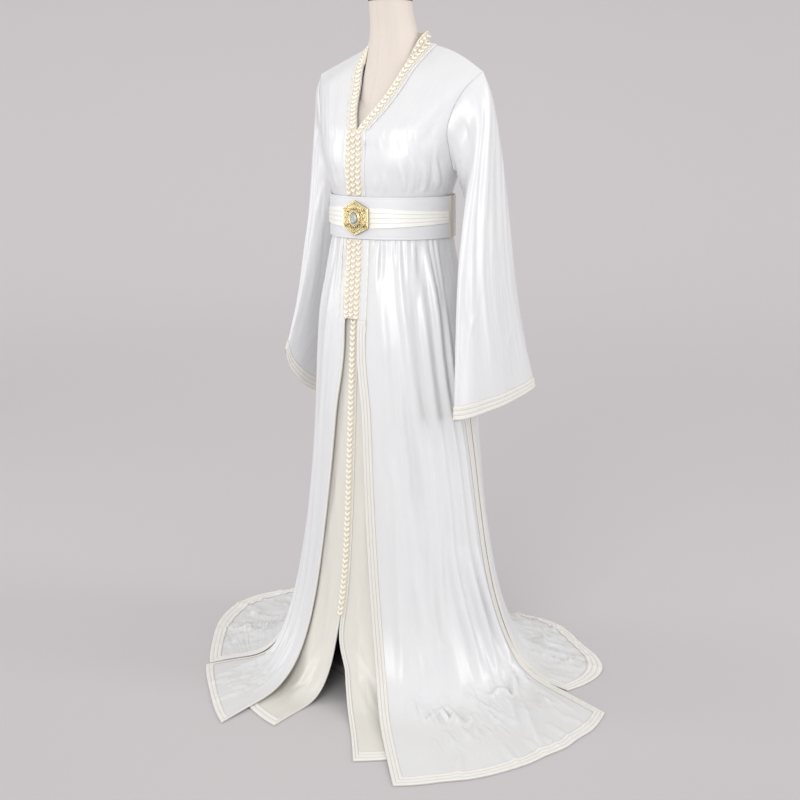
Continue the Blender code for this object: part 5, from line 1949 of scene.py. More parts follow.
# ------------------------------------------------------------------- the dress form
@dataclass
class DressForm:
    """Limbless padded form with a linen cover, a wooden neck cap, a pole and a base."""

    # Height, half width, front depth, back depth and middle.
    torso: tuple[tuple[float, ...], ...] = (
        (0.760, 0.110, 0.095, 0.095, 0.000), (0.770, 0.128, 0.111, 0.111, 0.000),
        (0.820, 0.136, 0.116, 0.117, 0.000), (0.900, 0.119, 0.103, 0.103, 0.000),
        (0.975, 0.109, 0.099, 0.094, 0.000), (1.031, 0.116, 0.105, 0.098, 0.000),
        (1.090, 0.136, 0.112, 0.101, 0.000), (1.161, 0.154, 0.109, 0.106, 0.002),
        (1.200, 0.166, 0.088, 0.100, 0.008), (1.240, 0.176, 0.062, 0.084, 0.014),
        (1.262, 0.168, 0.046, 0.062, 0.018), (1.280, 0.140, 0.040, 0.048, 0.020),
        (1.297, 0.105, 0.035, 0.040, 0.021), (1.310, 0.072, 0.030, 0.034, 0.021))
    neck: tuple[tuple[float, ...], ...] = (
        (1.180, 0.070, 0.086, 0.050, 0.000), (1.220, 0.068, 0.073, 0.060, 0.000),
        (1.260, 0.064, 0.060, 0.060, 0.002), (1.300, 0.0585, 0.056, 0.056, 0.008),
        (1.338, 0.0535, 0.053, 0.053, 0.009), (1.362, 0.0475, 0.047, 0.047, 0.002),
        (1.385, 0.0447, 0.044, 0.044, -0.004), (1.412, 0.0433, 0.043, 0.043, -0.009))
    # Radius and height of the cap's turned profile in mm.
    cap: tuple[tuple[float, float], ...] = (
        (44.2, 0.0), (45.0, 1.0), (45.0, 8.2), (44.3, 10.4), (42.0, 14.2), (39.0, 17.9), (34.0, 22.4),
        (28.0, 26.0), (20.0, 28.5), (10.0, 29.6), (1.0, 30.0))
    cap_y: float = -0.009
    cap_low: float = 1.4125
    around: int = 64

    def section(self, sections: Array, z: float, turns: Array) -> Array:
        """Work out points round a section.

        Args:
            sections: The rows of the torso or neck.
            z: Height of the section.
            turns: Angles from the front.

        Returns:
            The points.
        """
        _, width, front, back, middle = through(sections[:, 0], sections, np.array([z]))[0]
        depth = np.where(np.cos(turns) > 0, front, back)
        y = middle - depth * np.cos(turns)
        return np.stack([width * np.sin(turns), y, np.full_like(turns, z)], axis=1)

    def loft(self, name: str, sections: Array, rows: int, material: Material) -> bpy.types.Object:
        """Make a closed smooth loft.

        Args:
            name: Its name.
            sections: The rows of the torso or neck.
            rows: Rings to space evenly besides those at the sections.
            material: Its material.

        Returns:
            The loft.
        """
        heights = np.unique(np.concatenate([sections[:, 0], np.linspace(*sections[[0, -1], 0], rows)]))
        rings = np.array([self.section(sections, z, circle(self.around)) for z in heights])
        return build_mesh(name, [stacked(rings)], [material])

    def seam(self, facing: float) -> Patch:
        """Make a fine raised side seam up the neck.

        Args:
            facing: Its angle from the front in degrees.

        Returns:
            The seam.
        """
        turn = np.radians([facing])
        path = np.vstack([self.section(np.array(self.neck), z, turn) for z in np.linspace(1.306, 1.4115, 24)])
        out = np.tile([math.sin(turn[0]), -math.cos(turn[0]), 0.0], (len(path), 1))
        return tube(path, out, 0.7 * MM, around=6)

    def build(self, linen: Material, wood: Material, paint: Material) -> None:
        """Make the padded body and the cap, and finish the pole and base.

        Args:
            linen: Material of the cover.
            wood: Material of the cap.
            paint: Material of the pole and base.
        """
        body = self.loft("form_torso", np.array(self.torso), 60, linen)
        neck = self.loft("neck", np.array(self.neck), 34, linen)
        union = body.modifiers.new("neck", "BOOLEAN")
        union.operation, union.solver, union.object = "UNION", "EXACT", neck
        bpy.context.view_layer.objects.active = body
        bpy.ops.object.modifier_apply(modifier=union.name)
        bpy.data.objects.remove(neck, do_unlink=True)
        install(body, Slot.LINEN, "form_torso")
        seams = build_mesh("form_neck_seams", [self.seam(90.0), self.seam(-90.0)], [linen])
        install(seams, Slot.LINEN)
        turns = circle(self.around)
        rings = np.array([
            np.column_stack([radius * MM * np.cos(turns), self.cap_y + radius * MM * np.sin(turns),
                             np.full(self.around, self.cap_low + height * MM)])
            for radius, height in self.cap])
        dress("form_neck_cap", [stacked(rings)], [wood], Slot.DARK_WOOD)
        for node in ("form_pole", "form_base"):
            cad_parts[node].material_slots[0].material = paint


# ----------------------------------------------------------------- the whole garment
def fold_rows(*rows: tuple[float, ...]) -> tuple[Fold, ...]:
    """Folds from rows of top, foot, widths at both, height in mm, start and end."""
    return tuple(Fold(*row) for row in rows)


LEFT_CREASES = crease_rows(
    # Bust, armhole and the slack that the belt gathers above it.
    (90, 4.5, 0.0, -1.16, 0.33, -1.12, 0.66, -1.16, 0.90, -1.33),
    (26, -3, 1.0, -1.60, 0.90, -1.36, 0.74, -1.26), (40, 2.5, 1.0, -1.80, 0.80, -1.60, 0.62, -1.42),
    (18, 2.5, 0.98, -1.30, 0.88, -1.10, 0.86, -0.90), (16, -2, 0.93, -1.25, 0.82, -1.05, 0.80, -0.80),
    (50, 1.5, 0.30, -1.95, 0.35, -1.55), (44, -1.5, 0.62, -1.96, 0.55, -1.55),
    (18, 2.5, 0.43, -1.04, 0.50, -0.62), (14, -2, 0.47, -1.02, 0.54, -0.62),
    (18, 2.6, 0.58, -0.62, 0.56, -0.92, 0.58, -1.10), (20, 3, 0.76, -0.62, 0.71, -0.92, 0.70, -1.08),
    (16, -2.2, 0.70, -0.64, 0.65, -0.98), (20, 2.6, 0.93, -0.66, 0.88, -0.92, 0.86, -1.10),
    (14, 2, 0.26, -0.62, 0.23, -0.98), (14, 1.6, 0.12, -0.62, 0.14, -0.95),
    # Single gathers that hang lower than the rest.
    (20, 2.6, 0.13, 0.66, 0.12, 1.75), (16, -2, 0.22, 0.68, 0.21, 1.5),
    (26, 3, 0.43, 0.66, 0.42, 1.4, 0.43, 2.4), (22, 2.6, 0.60, 0.66, 0.58, 1.9),
    (18, -2, 0.68, 0.66, 0.67, 1.6), (26, 3.2, 0.80, 0.66, 0.79, 1.5, 0.81, 2.6),
    (20, 2.6, 0.93, 0.66, 0.92, 1.8),
    # Long soft folds of the lower skirt.
    (44, -3.5, 0.26, 2.6, 0.20, 4.2, 0.16, 6.2), (34, 3.5, 0.20, 4.0, 0.14, 6.0, 0.08, 7.6),
    (36, 5, 0.64, 3.85, 0.56, 4.75, 0.50, 5.3, 0.44, 6.6), (26, -4, 0.56, 4.4, 0.46, 5.4, 0.38, 6.5),
    (34, 5, 0.61, 5.0, 0.63, 6.25, 0.60, 7.0, 0.58, 7.6), (24, -4, 0.68, 4.8, 0.70, 6.0, 0.66, 7.2),
    (32, 6, 0.75, 5.2, 0.79, 6.2, 0.69, 7.97, 0.60, 8.9), (24, -4.5, 0.84, 5.0, 0.86, 6.2, 0.80, 7.4),
    (34, 6, 0.90, 5.2, 0.93, 6.4, 0.88, 7.6, 0.84, 8.6), (30, 4, 0.33, 4.6, 0.30, 5.8, 0.26, 7.0),
    (24, -3, 0.38, 3.2, 0.36, 4.4, 0.30, 5.6), (22, 2.5, 0.48, 3.0, 0.52, 4.0, 0.50, 5.0),
    # Crumpled bend above the floor: two ragged lines of peaks, and folds that run out from them.
    (15, 5.2, 0.17, 7.72, 0.18, 8.08, 0.27, 7.82, 0.30, 8.19, 0.34, 8.01, 0.37, 8.37, 0.44, 8.15,
     0.45, 8.34, 0.48, 8.66),
    (16, 5.5, 0.55, 7.50, 0.60, 7.79, 0.675, 7.75, 0.73, 8.1, 0.795, 7.68),
    (20, 6, 0.45, 7.5, 0.52, 8.0, 0.58, 8.5), (13, 5, 0.22, 7.6, 0.24, 8.3), (13, 5, 0.31, 7.7, 0.345, 8.4),
    (12, 3, 0.39, 7.8, 0.41, 8.5), (13, 5.5, 0.50, 7.8, 0.53, 8.6), (13, 5.5, 0.64, 7.4, 0.66, 8.3),
    (32, 9, 0.90, 6.84, 0.78, 7.93, 0.58, 9.69), (26, 5, 0.72, 8.2, 0.66, 9.0, 0.60, 9.9),
    (24, 5, 0.88, 8.26, 0.86, 8.8, 0.84, 9.5), (20, 4, 0.95, 8.0, 0.93, 9.4),
    (28, 4, 0.27, 9.1, 0.19, 9.98), (24, 4.5, 0.46, 9.2, 0.45, 9.98), (20, 4.5, 0.575, 9.3, 0.585, 9.99),
    (22, 4.5, 0.745, 9.2, 0.75, 9.99), (20, 3.5, 0.66, 9.4, 0.67, 9.98), (20, 3.5, 0.87, 9.3, 0.88, 9.98),
) + wrinkles(3, 26, (0.05, 0.95), (-1.9, -1.2), (0.03, 0.35), 17, 0.8) + wrinkles(
    4, 40, (0.12, 0.98), (2.2, 5.5), (-0.01, 1.2), 20, 0.7) + wrinkles(
    5, 64, (0.12, 0.95), (7.2, 8.7), (0.015, 0.6), 14, 3.0, 0.0)
RIGHT_CREASES = crease_rows(
    (84, 4.5, 0.0, -1.17, 0.40, -1.12, 0.80, -1.2), (16, -2, 0.86, -1.66, 0.60, -1.36),
    (16, 2, 0.80, -1.72, 0.54, -1.40), (15, 2, 0.72, -1.80, 0.46, -1.48),
    (15, -2, 0.95, -1.55, 0.70, -1.28), (16, 2.4, 0.90, -1.15, 0.70, -0.70),
    (14, -2, 0.80, -1.15, 0.58, -0.72), (14, 2, 0.55, -1.10, 0.48, -0.66), (14, 2, 0.30, -1.0, 0.28, -0.64),
    (18, 2.6, 0.20, 0.66, 0.19, 1.9), (18, 2.6, 0.46, 0.66, 0.45, 2.4), (16, -2, 0.56, 0.66, 0.55, 1.8),
    (20, 3, 0.72, 0.66, 0.70, 2.6), (18, 2.6, 0.90, 0.66, 0.89, 2.2),
    (24, 3.5, 0.24, 2.6, 0.22, 4.4, 0.18, 6.4), (22, -3, 0.36, 2.8, 0.34, 4.6, 0.30, 6.2),
    (26, 4, 0.52, 3.0, 0.50, 5.0, 0.46, 7.0), (22, 4, 0.74, 3.4, 0.72, 5.4, 0.68, 7.4),
    (24, 4.5, 0.90, 4.0, 0.88, 6.0, 0.86, 8.0), (20, 4, 0.30, 6.8, 0.28, 8.2),
    (20, 4.5, 0.52, 6.9, 0.46, 8.0, 0.42, 9.0), (18, 4, 0.70, 7.2, 0.64, 8.6),
    (16, 3.5, 0.12, 7.4, 0.14, 8.6), (16, 3, 0.86, 7.6, 0.84, 9.2), (24, 4, 0.30, 9.2, 0.30, 9.98),
    (22, 4, 0.66, 9.2, 0.67, 9.98),
) + wrinkles(7, 16, (0.05, 0.95), (-1.9, -1.2), (-0.12, 0.30), 15, 0.8) + wrinkles(
    8, 30, (0.1, 0.95), (2.0, 5.5), (-0.01, 1.6), 16, 0.9) + wrinkles(
    9, 36, (0.15, 0.95), (7.4, 9.0), (0.02, 0.5), 14, 2.6, 0.0)
BACK_CREASES = crease_rows(
    # Train on the left, as it crumples past the slit.
    (16, 5, 0.216, 8.20, 0.205, 8.9, 0.180, 9.5), (14, 4.5, 0.195, 8.15, 0.170, 9.0, 0.145, 9.75),
    (18, 6, 0.150, 8.2, 0.135, 8.9, 0.125, 9.4), (16, 6, 0.062, 7.95, 0.065, 8.8, 0.10, 9.5),
    (15, 5, 0.030, 8.1, 0.012, 8.9, 0.02, 9.5), (16, 5, 0.10, 8.0, 0.095, 9.0, 0.11, 9.8),
    (14, 4, 0.24, 8.4, 0.25, 9.2, 0.27, 9.8), (26, 6, 0.285, 9.0, 0.30, 9.98),
    (24, 5, 0.08, 9.2, 0.07, 9.98), (22, 5, 0.165, 9.4, 0.16, 9.99), (14, 3, 0.02, 4.5, 0.02, 6.0),
    (12, 3, 0.05, 4.0, 0.05, 5.6),
    # Train on the right.
    (16, 5, 0.748, 8.2, 0.735, 9.0, 0.72, 9.9), (15, 5, 0.775, 8.2, 0.765, 9.1, 0.76, 9.9),
    (16, 5.5, 0.81, 8.1, 0.835, 8.7, 0.82, 9.5), (15, 5, 0.86, 8.0, 0.88, 8.8, 0.875, 9.6),
    (16, 5, 0.93, 7.9, 0.92, 8.6, 0.93, 9.4), (14, 4, 0.96, 8.0, 0.965, 9.0),
    (24, 5, 0.70, 9.2, 0.695, 9.98), (22, 5, 0.80, 9.4, 0.80, 9.99), (22, 5, 0.90, 9.3, 0.90, 9.98),
    # Middle of the back: blade, waist and the long fall of the skirt.
    (70, 3, 0.20, -1.5, 0.32, -1.35, 0.44, -1.45), (70, 3, 0.56, -1.45, 0.68, -1.35, 0.80, -1.5),
    (24, -2.5, 0.04, -1.55, 0.14, -1.25), (24, -2.5, 0.96, -1.55, 0.86, -1.25),
    (22, 2.5, 0.30, -0.62, 0.28, -1.1), (20, 2.5, 0.45, -0.62, 0.44, -1.2),
    (20, 2.5, 0.57, -0.62, 0.56, -1.15), (22, 2.5, 0.74, -0.62, 0.72, -1.05),
    (28, 3.5, 0.29, 1.0, 0.28, 3.0, 0.27, 6.0), (30, 4, 0.43, 0.8, 0.42, 3.5, 0.43, 7.0),
    (28, 4, 0.57, 0.9, 0.58, 3.2, 0.58, 6.6), (28, 3.5, 0.71, 1.0, 0.72, 3.4, 0.72, 6.4),
    (24, 5, 0.34, 7.4, 0.33, 9.2), (24, 5, 0.46, 7.3, 0.47, 9.4), (24, 5, 0.60, 7.4, 0.61, 9.2),
) + wrinkles(11, 40, (0.02, 0.98), (-1.8, -0.9), (0.0, 0.35), 18, 0.9) + wrinkles(
    12, 70, (0.03, 0.97), (1.8, 5.5), (0.0, 1.6), 18, 1.0) + wrinkles(
    13, 70, (0.03, 0.30), (7.7, 9.4), (0.0, 0.8), 15, 3.2, 0.2) + wrinkles(
    14, 80, (0.66, 0.97), (7.7, 9.5), (0.0, 0.8), 15, 3.2, 0.2) + wrinkles(
    15, 40, (0.30, 0.66), (7.6, 9.3), (0.0, 0.8), 16, 2.2, 0.0)
UNDER_CREASES = crease_rows(
    (22, 3, 0.06, 5.4, 0.05, 6.6), (18, 3.5, 0.04, 6.9, 0.05, 7.6, 0.09, 8.1),
    (16, 3, 0.10, 7.0, 0.13, 8.0), (24, 3, 0.20, 3.5, 0.19, 5.5, 0.20, 7.2),
    (26, 4, 0.34, 3.0, 0.34, 5.5, 0.36, 7.6), (24, 4, 0.55, 2.4, 0.56, 7.2), (26, 4, 0.76, 2.4, 0.77, 7.0),
    (24, 3.5, 0.90, 2.4, 0.91, 6.8))
OUTER_LEFT = SkirtPanel(
    name="outer_front_left", edges=(Edge.LEFT_OPENING, Edge.LEFT_SLIT), outer=True, columns=118, waves=10,
    touch=(0.330, 0.335, 0.330, 0.320, 0.310),
    hem=(0.571, 0.570, 0.562, 0.567, 0.5625, 0.557, 0.553, 0.541, 0.5455, 0.531, 0.534, 0.525, 0.516),
    folds=fold_rows((0.22, 0.17, 0.16, 0.24, 3, 1.0, 7.5), (0.47, 0.44, 0.18, 0.24, 5, 0.8, 9.0),
                    (0.66, 0.65, 0.14, 0.18, 6, 1.0, 9.6), (0.80, 0.80, 0.12, 0.15, 7, 0.8, 9.2),
                    (0.92, 0.91, 0.10, 0.13, 6, 1.4, 9.8)),
    creases=LEFT_CREASES, cut=(0.60, 1.72), cut_area=0.52, ribbon="ribbon_outer_left",
    ribbon_from=(OPENING_PLACE, SLIT_PLACE))
OUTER_RIGHT = SkirtPanel(
    name="outer_front_right", edges=(Edge.RIGHT_OPENING, Edge.RIGHT_SLIT), outer=True, columns=76, waves=6,
    touch=(0.318, 0.300, 0.285), hem=(0.473, 0.420, 0.418),
    folds=fold_rows((0.30, 0.25, 0.20, 0.24, 4, 0.8, 8.6), (0.60, 0.55, 0.20, 0.24, 6, 0.8, 9.4),
                    (0.85, 0.82, 0.20, 0.24, 6, 1.2, 9.8)),
    creases=RIGHT_CREASES, cut=(0.33, 1.62), cut_area=0.33, ribbon="ribbon_outer_right",
    ribbon_from=(OPENING_PLACE, SLIT_PLACE), cords=(1, 1, 2))
OUTER_BACK = SkirtPanel(
    name="outer_back", edges=(Edge.BACK_LEFT, Edge.BACK_RIGHT), outer=True, columns=170, waves=13,
    touch=(0.300, 0.315, 0.320, 0.320, 0.320, 0.315, 0.290),
    hem=(0.410, 0.490, 0.420, 0.446, 0.346, 0.415, 0.430, 0.440, 0.455, 0.522, 0.480, 0.422, 0.410),
    folds=fold_rows((0.11, 0.10, 0.08, 0.09, 5, 0.8, 9.6), (0.23, 0.22, 0.09, 0.11, 9, 0.8, 9.6),
                    (0.36, 0.35, 0.09, 0.11, 8, 0.8, 9.2), (0.50, 0.50, 0.09, 0.11, 10, 0.8, 9.7),
                    (0.64, 0.65, 0.09, 0.11, 8, 0.8, 9.3), (0.78, 0.78, 0.09, 0.11, 9, 0.8, 9.9),
                    (0.90, 0.90, 0.08, 0.10, 6, 0.8, 9.5)),
    creases=BACK_CREASES, cut=(1.70, 1.62), cut_area=1.00, ribbon="ribbon_outer_back",
    ribbon_from=(SLIT_PLACE, SLIT_PLACE))
UNDER_LEFT = SkirtPanel(
    name="under_front_left", edges=(Edge.UNDER_LEFT, Edge.SEAM_LEFT), outer=False, columns=54, waves=5,
    touch=(0.300, 0.290, 0.280), hem=(0.486, 0.440, 0.380),
    folds=fold_rows((0.3, 0.3, 0.3, 0.3, 3, 1.5, 8.0)), cut=(0.52, 1.24), cut_area=0.35,
    creases=UNDER_CREASES + wrinkles(21, 16, (0.02, 0.25), (4.0, 7.5), (0.01, 0.8), 15, 1.6, 0.0),
    ribbon="ribbon_under_left", ribbon_from=(1.8, 99.0), cords=(2, 0, 3))
UNDER_RIGHT = SkirtPanel(
    name="under_front_right", edges=(Edge.UNDER_RIGHT, Edge.SEAM_RIGHT), outer=False, columns=54, waves=5,
    touch=(0.280, 0.275, 0.280), hem=(0.412, 0.345, 0.340),
    folds=fold_rows((0.3, 0.3, 0.3, 0.3, 3, 1.5, 8.0)), cut=(0.60, 1.16), cut_area=0.33,
    creases=UNDER_CREASES + wrinkles(22, 16, (0.02, 0.35), (4.0, 7.8), (0.01, 0.8), 15, 1.6, 0.0),
    ribbon="ribbon_under_right", ribbon_from=(1.8, 99.0), cords=(1, 0, 2))
UNDER_BACK = SkirtPanel(
    name="under_back", edges=(Edge.SEAM_LEFT, Edge.SEAM_FAR), outer=False, columns=64, waves=8,
    touch=(0.280, 0.290, 0.280), hem=(0.380, 0.350, 0.340), folds=(), cut=(1.15, 1.11), cut_area=0.65,
    creases=wrinkles(23, 24, (0.05, 0.95), (2.0, 6.0), (0.0, 1.8), 34, 2.4, 0.0))
SLEEVE_CREASES = crease_rows(
    # Ridge between the two flat sides, then front side, rear side and the inner sides.
    (30, 3, 0.02, 0.9, 0.02, 2.5, 0.01, 4.8), (20, -2, 0.05, 1.2, 0.055, 3.0, 0.05, 4.6),
    (24, 2.6, 0.10, 0.5, 0.11, 1.6, 0.10, 3.2), (22, 2.4, 0.15, 1.4, 0.14, 2.8, 0.17, 4.2),
    (20, -2, 0.19, 0.5, 0.18, 2.0, 0.20, 3.4), (26, 2.6, 0.22, 2.2, 0.21, 3.6, 0.23, 4.7),
    (22, 2.6, 0.96, 1.6, 0.95, 3.0, 0.93, 4.7), (18, -2, 0.92, 1.2, 0.915, 2.6, 0.90, 4.2),
    (24, 2.8, 0.88, 1.0, 0.88, 2.6, 0.86, 4.6), (20, 2.4, 0.83, 1.8, 0.84, 3.2, 0.81, 4.6),
    (22, -2.2, 0.80, 1.0, 0.81, 2.8, 0.78, 4.4), (18, 2.2, 0.14, 4.5, 0.11, 4.1, 0.06, 3.9),
    (18, 2.0, 0.94, 4.6, 0.90, 4.25, 0.87, 4.1), (26, 3, 0.28, 0.7, 0.34, 1.1, 0.40, 1.5),
    (20, 2, 0.40, 2.0, 0.40, 4.0), (20, 2, 0.62, 1.6, 0.62, 4.2))
SLEEVE_LEFT = Sleeve(
    name="sleeve_left", side=1, stations=(
        ((0.204, 0.020, 1.274), (0.172, -0.028, 1.205), (0.149, 0.000, 1.085), (0.172, 0.055, 1.200)),
        ((0.221, 0.022, 1.235), (0.196, -0.014, 1.165), (0.161, 0.010, 1.052), (0.197, 0.072, 1.160)),
        ((0.227, 0.010, 1.130), (0.2085, -0.024, 1.085), (0.180, 0.020, 1.010), (0.2155, 0.090, 1.090)),
        ((0.235, -0.020, 0.960), (0.2115, -0.066, 0.960), (0.198, 0.020, 0.920), (0.2245, 0.106, 0.930)),
        ((0.243, -0.015, 0.790), (0.217, -0.084, 0.800), (0.205, 0.020, 0.780), (0.230, 0.138, 0.765)),
        ((0.254, 0.020, 0.606), (0.235, -0.115, 0.604), (0.214, 0.030, 0.590), (0.235, 0.197, 0.618))),
    creases=SLEEVE_CREASES + wrinkles(31, 60, (0.0, 0.24), (0.6, 3.6), (0.0, 1.3), 12, 0.9) + wrinkles(
        32, 70, (0.76, 0.99), (0.6, 3.6), (0.0, 1.3), 12, 1.0), cut=(0.64, 0.68), cut_area=0.27)
SLEEVE_RIGHT = Sleeve(
    name="sleeve_right", side=-1, stations=(
        ((-0.204, 0.020, 1.274), (-0.172, -0.028, 1.205), (-0.149, 0.000, 1.085), (-0.172, 0.055, 1.200)),
        ((-0.216, 0.026, 1.235), (-0.194, -0.002, 1.165), (-0.161, 0.014, 1.052), (-0.197, 0.072, 1.160)),
        ((-0.219, 0.024, 1.130), (-0.199, -0.002, 1.085), (-0.175, 0.024, 1.010), (-0.208, 0.088, 1.090)),
        ((-0.229, 0.020, 0.960), (-0.203, -0.022, 0.960), (-0.191, 0.026, 0.920), (-0.216, 0.100, 0.930)),
        ((-0.243, 0.016, 0.800), (-0.215, -0.044, 0.810), (-0.203, 0.026, 0.780), (-0.230, 0.125, 0.770)),
        ((-0.262, 0.030, 0.628), (-0.234, -0.077, 0.690), (-0.226, 0.010, 0.583), (-0.240, 0.160, 0.610))),
    creases=SLEEVE_CREASES + wrinkles(33, 60, (0.0, 0.46), (0.6, 3.6), (0.0, 1.3), 12, 0.9) + wrinkles(
        34, 40, (0.76, 0.99), (0.6, 3.6), (0.0, 1.3), 12, 1.0), cut=(0.58, 0.66), cut_area=0.21)


@dataclass
class Trimmings:
    """The knotted braids of the kaftan and its underskirt."""

    chevron: KnotStyle = KnotStyle(KnotKind.CHEVRON, 9.8, 5.2, 4.4, spread=2.6)
    small_chevron: KnotStyle = KnotStyle(KnotKind.CHEVRON, 11.2, 6.2, 4.8, spread=3.2)
    neck_chevron: KnotStyle = KnotStyle(KnotKind.CHEVRON, 10.2, 6.0, 4.6, lean=34.0, spread=3.1)
    rope: KnotStyle = KnotStyle(KnotKind.TURN, 6.2, 3.0, 3.0, lean=40.0, pitch=4.6)
    column: float = 12.4

    def build(self, grids: dict[str, ClothGrid], cord: Material, satin: Material, tape: Material) -> None:
        """Make the braids down the front, beside the neck and down the underskirt.

        Args:
            grids: Outer faces of the panels by name.
            cord: Material of the knots.
            satin: Material of the bands' margins.
            tape: Material of their tan tape, painted shade between the knots.
        """
        fronts = (grids["outer_front_left"], grids["outer_front_right"])
        wide = ((-36.0, 0.5), (-35.0, 0.9), (-19.5, 0.9), (-18.5, 1.2), (-6.2, 1.2), (0.0, 1.2), (6.2, 1.2),
                (18.5, 1.2), (19.5, 0.9), (35.0, 0.9), (36.0, 0.5))
        upper = ((-27.0, 0.5), (-26.0, 0.9), (-19.5, 0.9), (-18.5, 1.2), (0.0, 1.2), (18.5, 1.2),
                 (19.5, 0.9), (26.0, 0.9), (27.0, 0.5))
        lines = ((-self.column, 0.0, self.chevron), (0.0, 0.5, self.chevron),
                 (self.column, 0.0, self.chevron))
        rails = ((-19.6, 1.4, 0.8), (19.6, 1.4, 0.8))
        Braid("braid_upper", fronts, NECK_V_Z + 0.001, BELT_HIGH_Z + 0.001, upper, lines, (-19.0, 19.0),
              lift=0.35, cords=rails, drift=(-6.0, -9.0)).build(cord, satin, tape)
        Braid("braid_lower", fronts, BELT_LOW_Z - 0.001, BRAID_END_Z, wide, lines, (-19.0, 19.0),
              hold=math.floor(fronts[0].row_of(SPREAD_PLACE)), lift=0.4, drift=(-9.0, -2.0),
              cords=rails + ((-34.0, 1.0, 0.8), (34.0, 1.0, 0.8), (-23.5, 1.0, 0.6))).build(cord, satin, tape)
        beside = ((0.6, 1.2), (3.0, 1.2), (14.6, 1.2), (16.5, 1.1), (20.5, 0.9), (25.5, 0.9), (26.5, 0.5))
        for name, grid in (("braid_neck_left", fronts[0]), ("braid_neck_right", fronts[1])):
            Braid(name, (grid,), 1.331, NECK_V_Z, beside,
                  ((8.6, 0.0, self.neck_chevron), (18.4, 0.0, self.rope)),
                  (2.0, 15.0), lift=0.8, cords=((1.2, 1.6, 1.0), (24.6, 1.0, 0.8))).build(cord, satin, tape)
        unders = (grids["under_front_left"], grids["under_front_right"])
        narrow = ((-8.0, 0.5), (-7.2, 0.9), (0.0, 0.9), (7.2, 0.9), (8.0, 0.5))
        Braid("braid_under", unders, BRAID_END_Z, KNOTS_END_Z, narrow, ((0.0, 0.0, self.small_chevron),),
              (-9.0, 9.0), lift=1.8).build(cord, satin, tape)
        # The neck band is made of the same tan tape, painted shade between its knots.
        NeckBand().build(cord, tape)


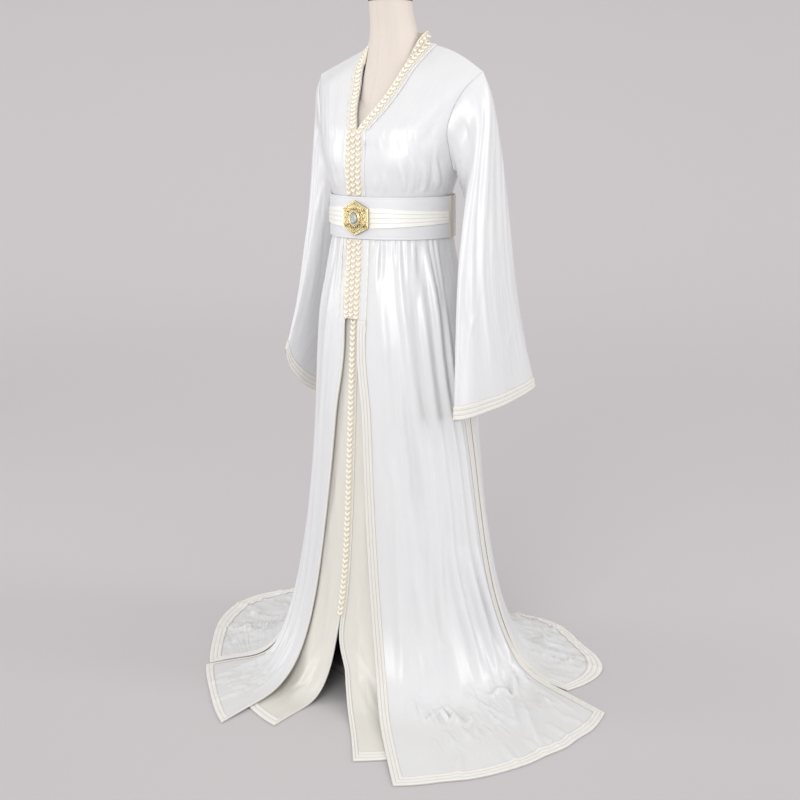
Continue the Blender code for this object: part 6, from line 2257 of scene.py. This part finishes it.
@dataclass
class Studio:
    """Pale floor that curves up behind, soft lights and the camera."""

    near: str = "#C0BCBD"
    far: str = "#DEDADB"
    half_width: float = 9.0
    front: float = -6.0
    back: float = 4.5
    curve: float = 2.5
    wall: float = 6.0
    camera_azimuth: float = 36.0
    camera_distance: float = 2.70
    camera_shift: float = 0.0142
    camera_height: float = 1.21
    camera_pitch: float = 12.9
    lens: float = 58.0

    @property
    def ahead(self) -> Array:
        """Level direction away from the camera."""
        angle = math.radians(self.camera_azimuth)
        return np.array([-math.sin(angle), math.cos(angle)])

    @property
    def right(self) -> Array:
        """Level direction to the camera's right."""
        return np.array([self.ahead[1], -self.ahead[0]])

    def floor_finish(self) -> Material:
        """Make the matt paper of the sweep, which is paler far away.

        Returns:
            The material.
        """
        material, tree = new_material("matt paper sweep")
        where = add_node(tree, "TexCoord")
        axes = add_node(tree, "SeparateXYZ", links={0: where.outputs["UV"]})
        depth = add_node(tree, "MapRange", {"From Min": -0.75, "From Max": self.back}, {"Value": axes})
        colour = add_node(tree, "Mix", {"data_type": "RGBA", 6: linear(self.near), 7: linear(self.far)},
                          {0: depth})
        shader = add_node(tree, "BsdfPrincipled", {"Roughness": 0.9, "Specular IOR Level": 0.1},
                          {"Base Color": colour.outputs[2]})
        add_node(tree, "OutputMaterial", links={0: shader})
        return material

    def build_floor(self) -> None:
        """Make the floor and backdrop as one sweep."""
        angles = math.pi / 2 * np.arange(1, 13) / 12
        bend = np.column_stack([self.back + self.curve * np.sin(angles), self.curve * (1 - np.cos(angles))])
        ends = np.array([(self.front, 0.0), (self.back, 0.0), (self.back + self.curve, self.wall)])
        profile = np.vstack([ends[:2], bend, ends[2:]])
        uv = np.array([(depth, side) for depth, _ in profile for side in (-self.half_width, self.half_width)])
        vertices = np.column_stack([np.outer(uv[:, 0], self.ahead) + np.outer(uv[:, 1], self.right),
                                    profile[:, 1].repeat(2)])
        faces = [(2 * i, 2 * i + 1, 2 * i + 3, 2 * i + 2) for i in range(len(profile) - 1)]
        build_mesh("sweep", [Patch(vertices, faces, uv)], [self.floor_finish()])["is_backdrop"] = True

    def place(self, name: str, data: bpy.types.ID, spot: Array, aim: Array) -> bpy.types.Object:
        """Put a light or camera in the scene.

        Args:
            name: Its name.
            data: The light or camera.
            spot: Where it stands.
            aim: Direction that it looks in.

        Returns:
            The object.
        """
        made = bpy.data.objects.new(name, data)
        made.location = spot
        made.rotation_euler = Vector(aim).to_track_quat("-Z", "Y").to_euler()
        bpy.context.scene.collection.objects.link(made)
        return made

    def add_light(self, name: str, azimuth: float, distance: float, height: float, size: tuple[float, float],
                  power: float, target_z: float, spread: float) -> None:
        """Hang a soft box that looks at the garment.

        Args:
            name: The light's name.
            azimuth: Degrees from the wearer's front towards the wearer's left.
            distance: Metres from the pole.
            height: Height of its middle.
            size: Width and height in metres.
            power: Watts.
            target_z: Height that it looks at.
            spread: Angle that it shines through, in degrees.
        """
        data = bpy.data.lights.new(name, "AREA")
        data.shape, data.size, data.size_y, data.energy = "RECTANGLE", size[0], size[1], power
        data.spread = math.radians(spread)
        angle = math.radians(azimuth)
        spot = np.array([distance * math.sin(angle), -distance * math.cos(angle), height])
        self.place(name, data, spot, np.array([0.0, 0.0, target_z]) - spot)

    def build_lights(self) -> None:
        """Hang the lights and set the room's own light."""
        world = bpy.data.worlds.new("room")
        bpy.context.scene.world = world
        world.use_nodes = True
        background = world.node_tree.nodes["Background"]
        background.inputs["Color"].default_value = linear("#FFFFFF")
        background.inputs["Strength"].default_value = 0.86
        self.add_light("key", 20, 2.3, 1.45, (1.1, 1.3), 9.5, 1.12, 110)
        self.add_light("side", 112, 3.0, 1.5, (0.9, 2.0), 16, 1.1, 140)
        self.add_light("far side", -62, 3.0, 1.6, (1.0, 2.0), 10, 1.1, 140)

    def build_camera(self) -> None:
        """Set the camera and how its picture is toned."""
        data = bpy.data.cameras.new("camera")
        data.lens, data.sensor_width = self.lens, 36.0
        spot = self.right * self.camera_shift - self.ahead * self.camera_distance
        pitch = math.radians(self.camera_pitch)
        aim = np.append(self.ahead * math.cos(pitch), -math.sin(pitch))
        bpy.context.scene.camera = self.place("camera", data, np.append(spot, self.camera_height), aim)
        bpy.context.scene.view_settings.view_transform = "Standard"


def main() -> None:
    """Build the dressed form in order and work out its size beside that of the solids."""
    logging.basicConfig(level=logging.INFO, format="%(name)s: %(message)s")
    studio = Studio()
    studio.build_camera()
    studio.build_floor()
    studio.build_lights()
    satin, under = SATIN.make(), UNDER_SATIN.make()
    edge, knots = EDGE_BRAID.make(), KNOT_CORD.make()
    grids = {}
    for panel in (OUTER_LEFT, OUTER_RIGHT, OUTER_BACK, UNDER_LEFT, UNDER_RIGHT, UNDER_BACK):
        grids[panel.name] = panel.build(satin if panel.outer else under, edge)
    for sleeve in (SLEEVE_LEFT, SLEEVE_RIGHT):
        sleeve.build(grids, satin, edge)
    Trimmings().build(grids, knots, satin, BRAID_SHADE_TAPE.make())
    belt = Belt()
    belt.build(BELT_SATIN.make(), WRAP_SATIN.make(), BELT_TAPE.make())
    Buckle(belt).build(GILT.make(), GILT_GROUND.make(), PALE_STONE.make(), SMALL_STONE.make())
    DressForm().build(FORM_LINEN.make(), DARK_WOOD.make(), BASE_PAINT.make())
    sizes = {"cad": CAD_BOX, "visual": [list(corner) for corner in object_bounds()]}
    {name: [[float(x) for x in corner] for corner in box] for name, box in sizes.items()}


if __name__ == "__main__":
    main()
